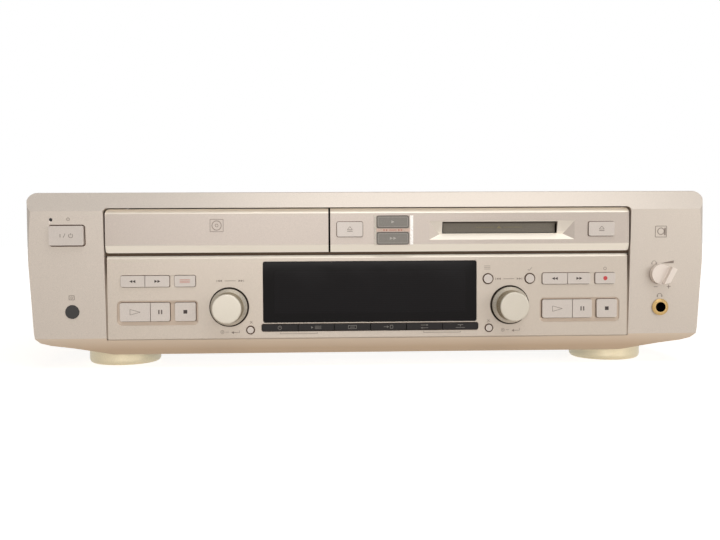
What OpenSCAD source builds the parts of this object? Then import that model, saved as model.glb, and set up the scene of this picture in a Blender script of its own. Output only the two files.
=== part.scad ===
// Minidisc deck: a full-width disc player and recorder with a CD tray and a minidisc slot.
// Millimetres. +X to the viewer's right, -Y towards the viewer, +Z up. Z = 0 is the floor.
// The front is laid out from the display outwards and from the feet upwards, so each size
// below can be changed by itself and its neighbours follow.

/* [Case] */
// Depth from the control panel's face to the rear panel
case_d = 258.7; // [230:0.1:300]
// Y of the control panel's face
face_y = -126.5; // [-140:0.1:-110]
// Width of each cheek, beside the middle panels
cheek_w = 48; // [40:0.1:60]
// Thickness of the sheet steel
sheet = 1.2; // [0.8:0.1:2]
// Wall of the plastic front panel
wall = 3; // [2:0.1:4]
// Height of the feet
foot_h = 9; // [6:0.1:14]
// Radius of a foot
foot_r = 23.5; // [15:0.5:30]
// Distance of a foot's middle from the case's side
foot_in = 50.3; // [30:0.1:80]
// Height of the sloping top band
band_h = 11.8; // [8:0.1:16]
// How far the top band leans back
band_back = 7; // [3:0.1:12]
// How far the cheeks stand in front of the control panel at the band
cheek_front = 4; // [1:0.1:8]
// How far the cheeks lean back from the band to the bottom chamfer
cheek_lean = 5; // [0:0.1:10]
// Height of the bottom chamfer
chamfer_h = 11.6; // [5:0.1:16]
// How far the bottom chamfer runs back
chamfer_back = 10.5; // [5:0.1:20]

/* [Middle panels] */
// Height of the control panel
lower_h = 53.5; // [50:0.1:60]
// Height of the tray front and the minidisc panel
upper_h = 27.6; // [26:0.1:32]
// Dark gap between the lower and the upper panels
line_gap = 1.4; // [0.6:0.1:2]
// Gap between the control panel and its opening
panel_gap = 1.2; // [0.4:0.05:1.6]
// Gap between the upper panels and their opening
upper_gap = 0.8; // [0.4:0.05:1.6]
// Gap between the tray front and the minidisc panel
split_gap = 1.2; // [0.6:0.1:2]
// Face thickness of the middle panels
face_t = 2.5; // [1.5:0.1:4]
// How far the upper panels stand in front of the control panel
upper_out = 2; // [0:0.1:3]
// Radius of the upper panels' outer top corners
corner_r = 2.6; // [1:0.1:4]
// Height of the slope at the foot of the upper panels, and at their top
slope_h = [4.7, 3.1];
// How far those slopes run back
slope_back = 1.9; // [0.5:0.1:3]

/* [Keys] */
// How far a small key stands out of its panel
key_out = 1.2; // [0.4:0.1:3]
// How far a play row key stands out of its shallow recess
play_out = 1.6; // [0.4:0.1:3]
// Depth of the shallow recess round the play row
recess_d = 0.6; // [0.2:0.1:1.2]
// Press travel of a key
key_travel = 0.8; // [0.3:0.05:1.2]
// Clearance between a key and its hole
key_gap = 0.35; // [0.1:0.05:0.5]
// Seam between two keys of one group
seam = 0.4; // [0.2:0.05:0.8]
// Gap between two groups of keys
group_gap = 3.2; // [2:0.1:6]
// Corner radius of a key group
key_r = 1.1; // [0.3:0.1:2]
// Distance of the small row's middle below the control panel's top
small_drop = 16.4; // [12:0.1:20]
// Height of the small row's keys
small_h = 7; // [5:0.1:9]
// Distance of the play row's middle above the control panel's bottom
play_rise = 17.7; // [14:0.1:22]
// Height of the play row's keys
play_h = 11.7; // [9:0.1:14]
// Widths of the CD side's small keys, from the dial outwards
cd_small_w = [13, 15.1, 15];
// Widths of the CD side's play row keys, from the dial outwards
cd_play_w = [13, 12, 18.8];
// Widths of the minidisc side's small keys, from the dial outwards
md_small_w = [16, 14.6, 13];
// Widths of the minidisc side's play row keys, from the dial outwards
md_play_w = [19.3, 12.4, 13];
// Gap between the outermost key and the control panel's edge
edge_gap = 6.9; // [5:0.1:12]
// Radius of a clear key
clear_r = 2.05; // [1.5:0.05:3]
// Distance of the clear keys' middle above the control panel's bottom
clear_rise = 5.65; // [5:0.05:8]
// Radius of the two round keys over the minidisc dial
round_r = 2.8; // [2:0.1:4]
// Half the spacing of those two keys
round_half = 13.5; // [10:0.1:16]
// Width and height of the open and close key
open_wh = [16.2, 9.3];
// Width and height of each of the two dark keys
sync_wh = [20, 7.3];
// Pitch of the two dark keys
sync_pitch = 10.4; // [9:0.1:12]
// Width and height of the eject key
eject_wh = [16.6, 9];
// Width and height of the power key
power_wh = [21.2, 12.2];
// Gap round the power key
power_gap = 0.7; // [0.2:0.05:1]
// How far the power key stands out
power_out = 2.4; // [1:0.1:4]

/* [Display] */
// Half width of the display window
glass_x = 68; // [50:0.1:80]
// Distance of the window's top below the control panel's top
glass_drop = 4.6; // [3:0.1:10]
// Number of keys under the window
strip_count = 6; // [4:1:8]
// Distance of those keys' middle above the control panel's bottom
strip_rise = 7; // [5:0.1:9]
// Height of those keys
strip_h = 4.4; // [3:0.1:6]
// Gap between two of those keys
strip_gap = 0.3; // [0.2:0.05:1]
// Bar of the panel between those keys and the window
strip_bar = 1.1; // [0.8:0.05:2]

/* [Dials] */
// Gap between the window and a dial's ring
dial_gap = 8.9; // [6:0.1:12]
// Gap between a dial's ring and the nearest key
keys_gap = 8.4; // [6:0.1:12]
// Distance of a dial's middle above the control panel's bottom
dial_rise = 20.4; // [17:0.1:30]
// Radius of a dial at its foot
dial_foot_r = 11.6; // [10:0.1:13]
// Radius of a dial at its nose
dial_nose_r = 9.2; // [8:0.1:11]
// How far a dial stands out
dial_out = 16; // [10:0.1:20]
// Gap round a dial's foot in its ring
dial_ring_gap = 1; // [0.3:0.1:2]
// Dial shaft radius
shaft_r = 3; // [2:0.1:4]
// Radial clearance of a shaft that turns
run_gap = 0.05; // [0.01:0.01:0.1]
// Radius of the level knob
level_r = 6.4; // [5:0.1:9]
// Where the level knob's bar points, clockwise from straight up
level_angle = 26; // [-150:1:150]
// Radius of the headphones jack's hole
phones_r = 3.2; // [3.175:0.005:3.3]

/* [Cheek pieces] */
// Power key: distance outside the middle panels and above the dark line
power_at = [22.3, 11.8];
// Standby lamp, measured the same way
lamp_at = [32, 21.8];
// Infrared window, measured the same way
sensor_at = [20.8, -36.2];
// Level knob, measured the same way
level_at = [19.2, -14.8];
// Headphones jack, measured the same way
jack_at = [20.4, -36.1];
// Radius of the infrared window
sensor_r = 4.35; // [3:0.05:6]

/* [CD mechanism] */
// Width of the tray
tray_w = 134; // [128:0.5:140]
// How far the tray front stands past the tray on each side
door_side = 2.85; // [1:0.05:6]
// Height of the tray's underside above the dark line
tray_rise = 10.5; // [10:0.1:13]
// Thickness of the tray
tray_t = 7; // [6:0.1:8]
// Distance of the disc's middle behind the control panel's face
disc_back = 73.5; // [70:0.5:80]
// Radius of the well for a 12 cm disc
disc_r = 60.5; // [60.2:0.1:61.5]
// How far the tray slides out
tray_travel = 138; // [120:1:145]
// Teeth of the loading gear
gear_teeth = 21; // [18:1:24]
// Tooth module of the loading gear and the rack
gear_m = 1; // [0.8:0.05:1.1]
// Travel of the CD pickup
cd_sled_travel = 33; // [30:1:36]
// Radius of the CD pickup's guide rods
cd_rod_r = 1.5; // [1:0.1:2]

/* [Minidisc mechanism] */
// Width of the slot
slot_w = 74; // [73:0.1:78]
// Height of the slot
slot_h = 7.5; // [6.5:0.1:9]
// Height of the slot's lower edge above the dark line
slot_rise = 11.9; // [10:0.1:13]
// Gap between the slot and the eject key
slot_side = 19.7; // [16:0.1:24]
// Distance of the minidisc's middle behind the control panel's face
md_back = 61.5; // [58:0.5:68]
// How far the cartridge holder drops
holder_drop = 5; // [3:0.1:6]
// Travel of the minidisc pickup
md_sled_travel = 16; // [14:1:18]
// Radius of the minidisc pickup's guide rods
md_rod_r = 1.2; // [0.8:0.1:1.6]

/* [Rear] */
// Radius of a phono jack's barrel
phono_r = 4.15; // [4:0.05:4.3]
// How far a phono jack stands out of the rear panel
phono_out = 10.3; // [8:0.1:12]
// X of the first phono jack, and the pitch of the jacks
phono_xp = [74, 22];
// Height of the lower phono jacks above the chassis floor, and the pitch of the rows
phono_zp = [33.8, 20];
// X of the first optical socket, and the pitch of the sockets
optical_xp = [128, 24];

/* [Hidden] */
$fn = 64;
// heights, from the floor up
low_z = foot_h - 0.4;
floor_z = foot_h + sheet;
chamfer_z = low_z + chamfer_h;
panel_low = chamfer_z - 1;
panel_top = panel_low + lower_h;
mid_z = panel_top + line_gap - 0.6;
upper_low = panel_top + line_gap;
upper_top = upper_low + upper_h;
open_top = upper_top + 0.6;
band_z = open_top - 1.8;
case_h = band_z + band_h;
cover_top = case_h - 1;
row_top_z = panel_top - small_drop;
row_play_z = panel_low + play_rise;
strip_z = panel_low + strip_rise;
glass_low_z = strip_z + strip_h / 2 + strip_bar;
glass_top_z = panel_top - glass_drop;
dial_z = panel_low + dial_rise;
open_z = upper_low + 14.3;
sync_z = upper_low + 13.7;
slot_low_z = mid_z + slot_rise;
slot_top_z = slot_low_z + slot_h;
tray_z = mid_z + tray_rise;
// depths, from the front back
upper_y = face_y - upper_out;
seat_y = face_y + 6;
flap_y = upper_y + 5;
flange_y = face_y + 8;
board_y = face_y + 14.5;
front_back_y = face_y + 18.5;
rear_y = face_y + case_d;
stem_end = board_y - 4.3 - key_travel;
foot_front_y = face_y + 42.7;
foot_rear_y = rear_y - 34.2;
cd_y = face_y + disc_back;
gear_y = front_back_y + 10;
tray_rear_y = gear_y + 10 + tray_travel;
md_y = face_y + md_back;
// places across, from the display outwards
dial_ring_r = dial_foot_r + dial_ring_gap;
dial_x = glass_x + dial_gap + dial_ring_r;
keys_x = dial_x + dial_ring_r + keys_gap;
function row_end(w, gaps) = keys_x + w[0] + w[1] + w[2] + gaps;
control_x = max(row_end(cd_small_w, seam + group_gap), row_end(cd_play_w, seam + group_gap),
  row_end(md_small_w, seam + group_gap), row_end(md_play_w, seam + group_gap)) + edge_gap;
window_x = control_x + panel_gap;
panel_x = window_x - upper_gap;
half_w = window_x + cheek_w;
cover_x = half_w - 1.5;
under_x = half_w - 49.9;
side_low_z = foot_h + 8;
foot_x = half_w - foot_in;
door_end = -panel_x + tray_w + 2 * door_side;
upper_x = door_end + split_gap;
cd_x = (door_end - panel_x) / 2;
rack_x = cd_x - 56;
gear_rp = gear_teeth * gear_m / 2;
// each key as [x, width], [x, z, radius] or [x, z, width, height]
function placed(w, at) = [keys_x + at + w / 2, w];
function mirrored(p) = [-p[0], p[1]];
cd_mode_xw = mirrored(placed(cd_small_w[0], 0));
cd_forward_xw = mirrored(placed(cd_small_w[1], cd_small_w[0] + group_gap));
cd_reverse_xw = mirrored(placed(cd_small_w[2], cd_small_w[0] + group_gap + cd_small_w[1] + seam));
cd_stop_xw = mirrored(placed(cd_play_w[0], 0));
cd_pause_xw = mirrored(placed(cd_play_w[1], cd_play_w[0] + group_gap));
cd_play_xw = mirrored(placed(cd_play_w[2], cd_play_w[0] + group_gap + cd_play_w[1] + seam));
md_reverse_xw = placed(md_small_w[0], 0);
md_forward_xw = placed(md_small_w[1], md_small_w[0] + seam);
md_record_xw = placed(md_small_w[2], md_small_w[0] + seam + md_small_w[1] + group_gap);
md_play_xw = placed(md_play_w[0], 0);
md_pause_xw = placed(md_play_w[1], md_play_w[0] + seam);
md_stop_xw = placed(md_play_w[2], md_play_w[0] + seam + md_play_w[1] + group_gap);
cd_clear_xzr = [-(glass_x + 8.2), panel_low + clear_rise, clear_r];
md_clear_xzr = [glass_x + 8.1, panel_low + clear_rise, clear_r];
md_menu_xzr = [dial_x - round_half - 0.5, row_top_z + 0.1, round_r];
md_yes_xzr = [dial_x + round_half - 0.5, row_top_z + 0.1, round_r];
open_xzwh = [upper_x + 4.2 + open_wh[0] / 2, open_z, open_wh[0], open_wh[1]];
sync_x = open_xzwh[0] + open_wh[0] / 2 + 9.2 + sync_wh[0] / 2;
sync_up_xzwh = [sync_x, sync_z + sync_pitch / 2, sync_wh[0], sync_wh[1]];
sync_low_xzwh = [sync_x, sync_z - sync_pitch / 2, sync_wh[0], sync_wh[1]];
eject_xzwh = [panel_x - 9.8 - eject_wh[0] / 2, open_z - 0.4, eject_wh[0], eject_wh[1]];
md_x = eject_xzwh[0] - eject_wh[0] / 2 - slot_side - slot_w / 2;
power_xzwh = [-window_x - power_at[0], mid_z + power_at[1], power_wh[0], power_wh[1]];
lamp_xz = [-window_x - lamp_at[0], mid_z + lamp_at[1]];
sensor_xz = [-window_x - sensor_at[0], mid_z + sensor_at[1]];
level_xz = [window_x + level_at[0], mid_z + level_at[1]];
phones_xz = [window_x + jack_at[0], mid_z + jack_at[1]];
cd_dial_xz = [-dial_x, dial_z];
md_dial_xz = [dial_x, dial_z];
level_y = cheek_y(level_xz[1]);
phones_y = cheek_y(phones_xz[1]);
sensor_y = cheek_y(sensor_xz[1]);
phono_x = [phono_xp[0], phono_xp[0] + phono_xp[1]];
phono_z = [floor_z + phono_zp[0], floor_z + phono_zp[0] + phono_zp[1]];
optical_x = [optical_xp[0], optical_xp[0] + optical_xp[1]];
optical_z = floor_z + 43.8;
gland_xz = [-half_w + 30.9, floor_z + 21.8];
side_screw_y = [front_back_y + 16, rear_y - 16.2];
rear_screws = [[-200, 100], [-60, 100], [60, 100], [200, 100], [-120, 24], [30, 24], [175, 24]];
function screw_x(p) = sign(p[0]) * min(abs(p[0]), half_w - 14.9);
function screw_z(p) = p[1] > 50 ? cover_top - 11.3 : floor_z + 13.8;

// ---- shapes used by several pieces ----

function arc(cx, cy, r, a0, a1, n = 6) =
  [for (i = [0:n]) [cx + r * cos(a0 + (a1 - a0) * i / n), cy + r * sin(a0 + (a1 - a0) * i / n)]];
function cheek_y(z) = face_y - cheek_front + (band_z - z) * cheek_lean / (band_z - chamfer_z);

// A box given by its limits.
module slab(x0, x1, y0, y1, z0, z1) { translate([x0, y0, z0]) cube([x1 - x0, y1 - y0, z1 - z0]); }
// The same on the left (s = -1) or right (s = 1) of x, from a to b outwards.
module side_slab(x, s, a, b, y0, y1, z0, z1) {
  slab(min(x + s * a, x + s * b), max(x + s * a, x + s * b), y0, y1, z0, z1);
}
// Round bars along X, Y and Z.
module xbar(y, z, r, x0, x1) { translate([x0, y, z]) rotate([0, 90, 0]) cylinder(h = x1 - x0, r = r); }
module ybar(x, z, r, y0, y1) { translate([x, y1, z]) rotate([90, 0, 0]) cylinder(h = y1 - y0, r = r); }
module zbar(x, y, r, z0, z1) { translate([x, y, z0]) cylinder(h = z1 - z0, r = r); }
// A rounded rectangle, flat.
module rounded(w, h, r) {
  square([w - 2 * r, h], center = true);
  square([w, h - 2 * r], center = true);
  for (i = [-1, 1]) for (j = [-1, 1]) translate([i * (w / 2 - r), j * (h / 2 - r)]) circle(r);
}
// The same in the XZ plane, drawn from y0 back to y1.
module yblock(x, z, w, h, r, y0, y1) {
  translate([x, y1, z]) rotate([90, 0, 0]) linear_extrude(y1 - y0) rounded(w, h, r);
}
// An XZ outline drawn from y0 back to y1.
module front_profile(y0, y1, pts) {
  translate([0, y1, 0]) rotate([90, 0, 0]) linear_extrude(y1 - y0) polygon(pts);
}
// A YZ outline drawn from x0 to x1.
module side_profile(x0, x1, pts) {
  translate([x0, 0, 0]) rotate([90, 0, 90]) linear_extrude(x1 - x0) polygon(pts);
}

function left(p) = p[0] - p[1] / 2;
function right(p) = p[0] + p[1] / 2;
// A rectangular key: cap, lips behind the panel, and the stem that meets its switch. The cap is
// its share of the rounded group that runs from g[0] to g[1].
module key(x, z, w, h, panel_y, out = key_out, thick = face_t, g = []) {
  back = panel_y + thick;
  ends = g == [] ? [x - w / 2, x + w / 2] : g;
  intersection() {
    yblock((ends[0] + ends[1]) / 2, z, ends[1] - ends[0], h, key_r, panel_y - out, back + 1.6);
    slab(x - w / 2, x + w / 2, panel_y - out - 1, back + 2, z - h, z + h);
  }
  slab(x - w / 2 + 1, x + w / 2 - 1, back + 0.1, back + 1.6, z - h / 2 - 1, z + h / 2 + 1);
  slab(x - 2, x + 2, back + 1.6, stem_end, z - 1.5, z + 1.5);
}
// A round key.
module round_key(p, panel_y) {
  ybar(p[0], p[1], p[2], panel_y - 0.8, panel_y + face_t + 0.1);
  ybar(p[0], p[1], p[2] + 1.2, panel_y + face_t + 0.1, panel_y + face_t + 1.6);
  ybar(p[0], p[1], 1.6, panel_y + face_t + 1.6, stem_end);
}
// The hole for a key, or for a group of keys from x0 to x1.
module key_hole(x0, x1, z, h) {
  yblock((x0 + x1) / 2, z, x1 - x0 + 2 * key_gap, h + 2 * key_gap, key_r + key_gap, face_y - 10, board_y);
}

// ---- casing ----

// The front panel's outer form, or with t its inner form.
module front_form(t) {
  hw = half_w - t;
  top = case_h - t;
  low = low_z + t;
  back = front_back_y + (t > 0 ? 1 : 0);
  edge = [for (p = [[49.9, 0], [38.9, 2.2], [25.6, 4.7], [11.9, 6.7], [5.9, 8.5], [3.3, 11.4], [2.8, 15.4]])
    [hw - p[0], low + p[1]]];
  corner = arc(hw - 6, face_y - cheek_front + 5.5 + t, 6, -90, 0, 6);
  intersection() {
    side_profile(-half_w, half_w, concat(
      [[back, low], [face_y + chamfer_back + 1 + t * 0.5, low],
       [cheek_y(chamfer_z) + t, chamfer_z + t * 0.4], [face_y - cheek_front + t, band_z - t * 0.2]],
      arc(face_y - cheek_front + band_back + 1 + t * 0.8, top - 1.5, 1.5, 150, 90, 3), [[back, top]]));
    front_profile(face_y - 30, front_back_y + 10, concat(
      [for (p = edge) [-p[0], p[1]]], [[-hw, band_z - 6]], arc(-hw + 6, top - 6, 6, 180, 90),
      arc(hw - 6, top - 6, 6, 90, 0), [[hw, band_z - 6]], [for (i = [len(edge) - 1:-1:0]) edge[i]]));
    translate([0, 0, -1]) linear_extrude(case_h + 2) polygon(concat(
      [[-hw, front_back_y + 10]], [for (i = [len(corner) - 1:-1:0]) [-corner[i][0], corner[i][1]]],
      corner, [[hw, front_back_y + 10]]));
  }
}

module front_panel() color("#c9b8a4") {
  difference() {
    union() {
      difference() { front_form(0); front_form(wall); }
      intersection() {
        front_form(0);
        slab(-window_x - 3, window_x + 3, face_y - 20, seat_y, panel_low - 3.2, open_top + 2.7);
      }
      // posts for the boards behind the cheeks
      for (x = [-1, 1]) {
        ybar(x * (window_x + 36.1), mid_z - 23.5, 2.6, cheek_y(mid_z - 23.5) + 1, board_y);
        ybar(x * (window_x + 8.1), mid_z - 1.5, 2.6, cheek_y(mid_z - 1.5) + 1, board_y);
      }
    }
    front_profile(face_y - 20, front_back_y + 10, concat([[-window_x, panel_low - 0.3]],
      arc(-window_x + corner_r, open_top - corner_r, corner_r, 180, 90),
      arc(window_x - corner_r, open_top - corner_r, corner_r, 90, 0), [[window_x, panel_low - 0.3]]));
    yblock(power_xzwh[0], power_xzwh[1], power_wh[0] + 2 * power_gap, power_wh[1] + 2 * power_gap,
      key_r + power_gap, face_y - 10, board_y);
    ybar(lamp_xz[0], lamp_xz[1], 1, face_y - 10, board_y);
    ybar(sensor_xz[0], sensor_xz[1], sensor_r + 0.05, face_y - 10, board_y);
    ybar(level_xz[0], level_xz[1], 4, face_y - 10, board_y);
    ybar(phones_xz[0], phones_xz[1], 4.6, face_y - 10, board_y);
  }
}

// A row of upright slots.
module slots(n, pitch, w, h) for (i = [0:n - 1]) translate([i * pitch, 0]) rounded(w, h, w / 2 - 0.1);

module top_cover() color("#b9aa98") difference() {
  translate([0, rear_y + 0.3, 0]) rotate([90, 0, 0]) linear_extrude(rear_y - front_back_y)
    difference() {
      translate([0, cover_top - 60]) rounded(2 * cover_x, 120, 3.5);
      translate([0, cover_top - sheet - 60]) rounded(2 * (cover_x - sheet), 120, 2.3);
      translate([-cover_x - 1, cover_top - 130]) square([2 * cover_x + 2, 130 - cover_top + side_low_z]);
    }
  for (y = [rear_y - 70, rear_y - 40])
    translate([-half_w + 29.9, y, case_h - 12]) linear_extrude(20) slots(11, 9, 2.6, 24);
  translate([40, rear_y - 36, case_h - 12]) linear_extrude(20) slots(17, 9, 2.6, 24);
  for (x = [-1, 1]) {
    for (y = [front_back_y + 48:8:rear_y - 56]) translate([x * cover_x, y, mid_z - 29.5])
      rotate([0, 90, 0]) linear_extrude(10, center = true) rounded(26, 2.6, 1.2);
    for (y = side_screw_y) xbar(y, floor_z + 19.8, 1.6, x * cover_x - 5, x * cover_x + 5);
  }
}

// The sheet metal's front outline up to a height: flat in the middle, rising at both sides.
function case_outline(top) = [[-cover_x + sheet, side_low_z], [-under_x, foot_h], [under_x, foot_h],
  [cover_x - sheet, side_low_z], [cover_x - sheet, top - 2.4], [cover_x - sheet - 2.4, top],
  [-cover_x + sheet + 2.4, top], [-cover_x + sheet, top - 2.4]];

module bottom_chassis() color("#a7a9ab") difference() {
  union() {
    front_profile(front_back_y, rear_y - sheet, [[-cover_x + sheet, side_low_z], [-under_x, foot_h],
      [under_x, foot_h], [cover_x - sheet, side_low_z], [cover_x - sheet, floor_z + 31.8],
      [cover_x - 2 * sheet, floor_z + 31.8], [cover_x - 2 * sheet, side_low_z + 1], [under_x, floor_z],
      [-under_x, floor_z], [-cover_x + 2 * sheet, side_low_z + 1],
      [-cover_x + 2 * sheet, floor_z + 31.8], [-cover_x + sheet, floor_z + 31.8]]);
    front_profile(front_back_y, front_back_y + sheet, case_outline(mid_z - 1.5));
    for (p = board_posts) zbar(p[0], p[1], 3.2, floor_z, floor_z + 7.8);
  }
  for (x = [-1, 1]) {
    for (y = side_screw_y) xbar(y, floor_z + 19.8, 1.6, x * cover_x - 8, x * cover_x + 5);
    for (y = [foot_front_y, foot_rear_y]) zbar(x * foot_x, y, 1.6, 0, floor_z + 10);
  }
  translate([-125, rear_y - 42, 0]) linear_extrude(floor_z + 10) slots(6, 10, 3, 30);
  translate([30, rear_y - 66, 0]) linear_extrude(floor_z + 10) slots(11, 10, 3, 30);
}

module rear_panel() color("#8f9193") difference() {
  front_profile(rear_y - sheet, rear_y, case_outline(cover_top - sheet));
  for (x = phono_x) for (z = phono_z) ybar(x, z, phono_r + 0.4, rear_y - 9, rear_y + 9);
  for (x = optical_x) yblock(x, optical_z, 14.4, 11.4, 0.8, rear_y - 9, rear_y + 9);
  yblock(gland_xz[0], gland_xz[1], 15.4, 11.4, 2, rear_y - 9, rear_y + 9);
  translate([-150, rear_y + 9, mid_z + 4.5]) rotate([90, 0, 0]) linear_extrude(18) slots(11, 8, 2.6, 30);
  for (p = rear_screws) ybar(screw_x(p), screw_z(p), 1.6, rear_y - 9, rear_y + 9);
}

// Each foot is a round cap that ends against the underside.
module feet() color("#cdbd97") for (x = [-foot_x, foot_x]) for (y = [foot_front_y, foot_rear_y])
  intersection() {
    translate([x, y, 0]) difference() {
      rotate_extrude() polygon(concat([[0, 0]], arc(foot_r - 3, 3, 3, -90, 0, 5),
        [[foot_r, foot_h + 12], [0, foot_h + 12]]));
      translate([0, 0, -1]) cylinder(h = 4, r = 8);
      cylinder(h = foot_h + 12, r = 1.6);
    }
    front_profile(face_y, rear_y, [[-half_w, 0], [half_w, 0], [cover_x - sheet, side_low_z],
      [under_x, foot_h], [-under_x, foot_h], [-cover_x + sheet, side_low_z]]);
  }

// A screw lying along X with its head's outer face at x, on side s.
module side_screw(x, y, z, s) {
  xbar(y, z, 3, min(x, x - s * 1.3), max(x, x - s * 1.3));
  xbar(y, z, 1.5, min(x - s * 1.3, x - s * 8), max(x - s * 1.3, x - s * 8));
}
module case_screws() color("#3a3a3c") {
  for (s = [-1, 1]) for (y = side_screw_y) side_screw(s * (cover_x + 1.3), y, floor_z + 19.8, s);
  for (p = rear_screws) {
    ybar(screw_x(p), screw_z(p), 3, rear_y, rear_y + 1.6);
    ybar(screw_x(p), screw_z(p), 1.5, rear_y - 5, rear_y);
  }
  for (x = [-foot_x, foot_x]) for (y = [foot_front_y, foot_rear_y]) {
    zbar(x, y, 3.2, 1.2, 3);
    zbar(x, y, 1.5, 3, floor_z - 0.2);
  }
}

// ---- front parts ----

// The shallow recess round a play row, from its outer end to its inner end.
module play_recess(x0, x1) {
  yblock((x0 + x1) / 2, row_play_z - 0.7, x1 - x0, play_h + 4, 3, face_y - 10, face_y + recess_d);
}
module control_panel() color("#c6b5a2") {
  difference() {
    union() {
      side_profile(-control_x, control_x, [[flange_y, panel_low], [face_y + 0.6, panel_low],
        [face_y, panel_low + 0.6], [face_y, panel_top - 2.3], [face_y + 1.9, panel_top], [flange_y, panel_top]]);
      slab(-window_x - 2.5, window_x + 2.5, seat_y, flange_y, panel_low + 0.5, panel_top);
    }
    slab(-control_x + 2.8, control_x - 2.8, face_y + face_t, board_y, panel_low + 2, panel_top - 2.3);
    // CD keys
    play_recess(left(cd_play_xw) - 2, right(cd_stop_xw) + 1.5);
    key_hole(left(cd_reverse_xw), right(cd_forward_xw), row_top_z, small_h);
    key_hole(left(cd_mode_xw), right(cd_mode_xw), row_top_z, small_h);
    key_hole(left(cd_play_xw), right(cd_pause_xw), row_play_z, play_h);
    key_hole(left(cd_stop_xw), right(cd_stop_xw), row_play_z, play_h);
    // minidisc keys
    play_recess(left(md_play_xw) - 1.5, right(md_stop_xw) + 2);
    key_hole(left(md_reverse_xw), right(md_forward_xw), row_top_z, small_h);
    key_hole(left(md_record_xw), right(md_record_xw), row_top_z, small_h);
    key_hole(left(md_play_xw), right(md_pause_xw), row_play_z, play_h);
    key_hole(left(md_stop_xw), right(md_stop_xw), row_play_z, play_h);
    // display window, the keys under it, round keys and dials
    yblock(0, (glass_low_z + glass_top_z) / 2, 2 * glass_x + 0.4, glass_top_z - glass_low_z + 0.4, 1.4,
      face_y - 10, face_y + 1.6);
    yblock(0, (glass_low_z + glass_top_z) / 2, 2 * glass_x - 4, glass_top_z - glass_low_z - 4, 0.6,
      face_y - 10, board_y);
    key_hole(-glass_x - 1, glass_x + 1, strip_z, strip_h);
    for (p = [cd_clear_xzr, md_clear_xzr, md_menu_xzr, md_yes_xzr]) {
      ybar(p[0], p[1], p[2] + 0.3, face_y - 10, board_y);
      ybar(p[0], p[1], p[2] + 0.85, face_y - 10, face_y + 0.3);
    }
    for (p = [cd_dial_xz, md_dial_xz]) {
      ybar(p[0], p[1], dial_ring_r, face_y - 10, face_y + 1.6);
      ybar(p[0], p[1], shaft_r + 0.6, face_y - 10, board_y);
    }
  }
  // posts for the control board
  for (s = [-1, 1]) for (p = [[control_x - 4.5, row_play_z + play_h / 2 + 5], [keys_x - 4.4, dial_z + 10],
    [glass_x + 4, glass_top_z - 2.4]]) ybar(s * p[0], p[1], 1.9, face_y + face_t - 0.5, board_y);
}

// The side outline shared by the tray front and the minidisc panel.
upper_outline = [[flange_y, upper_low], [upper_y + slope_back, upper_low], [upper_y, upper_low + slope_h[0]],
  [upper_y, upper_top - slope_h[1]], [upper_y + slope_back, upper_top], [flange_y, upper_top]];
// An upper panel from x0 to x1, with its top corner rounded on side s, hollow behind.
module upper_shell(x0, x1, s) difference() {
  intersection() {
    side_profile(x0, x1, upper_outline);
    front_profile(face_y - 8, flange_y + 1, s < 0
      ? concat([[x1, upper_low]], arc(x0 + 1.2, upper_low + 1.2, 1.2, 270, 180, 4),
        arc(x0 + corner_r, upper_top - corner_r, corner_r, 180, 90), [[x1, upper_top]])
      : concat([[x0, upper_low], [x0, upper_top]],
        arc(x1 - corner_r, upper_top - corner_r, corner_r, 90, 0), arc(x1 - 1.2, upper_low + 1.2, 1.2, 0, -90, 4)));
  }
  slab(x0 + 2.8, x1 - 2.8, upper_y + face_t, board_y, upper_low + 2.4, upper_top - 2.3);
}

module md_panel() color("#c6b5a2") {
  difference() {
    union() {
      upper_shell(upper_x, panel_x, 1);
      slab(panel_x - 1, window_x + 2.5, seat_y, flange_y, upper_low + 1.2, upper_top - corner_r);
      slab(upper_x + 5.4, panel_x - corner_r, seat_y, flange_y, upper_top - 2, open_top + 2.2);
    }
    slot_cut();
    upper_key_holes();
  }
  difference() {
    slab(md_x - slot_w / 2 - 13, md_x + slot_w / 2 + 13, upper_y + 2, flange_y,
      upper_low + 2.4, upper_top - 2.3);
    slot_cut();
    upper_key_holes();
    // bearings of the slot flap
    xbar(flap_y, slot_top_z - 0.7, 0.76, md_x - slot_w / 2 - 2.4, md_x + slot_w / 2 + 2.4);
  }
  // pale plate round the two dark keys
  difference() {
    yblock(sync_x + 0.65, sync_z - 0.1, sync_wh[0] + 4.9, sync_pitch + sync_wh[1] + 0.9, 0.8,
      upper_y - 0.4, upper_y + 0.5);
    upper_key_holes();
  }
  // posts for the two boards
  for (p = [[sync_x - sync_wh[0] / 2 - 4.6, upper_low + 4.9], [sync_x - sync_wh[0] / 2 - 4.6, upper_top - 4.7],
    [sync_x + sync_wh[0] / 2 + 4.7, sync_z], [panel_x - 26.4, upper_low + 4.9], [panel_x - 5.9, upper_top - 4.7]])
    ybar(p[0], p[1], 1.9, upper_y + face_t - 0.5, board_y);
}
module upper_key_holes() for (k = [open_xzwh, sync_up_xzwh, sync_low_xzwh, eject_xzwh])
  key_hole(k[0] - k[2] / 2, k[0] + k[2] / 2, k[1], k[3]);
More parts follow.
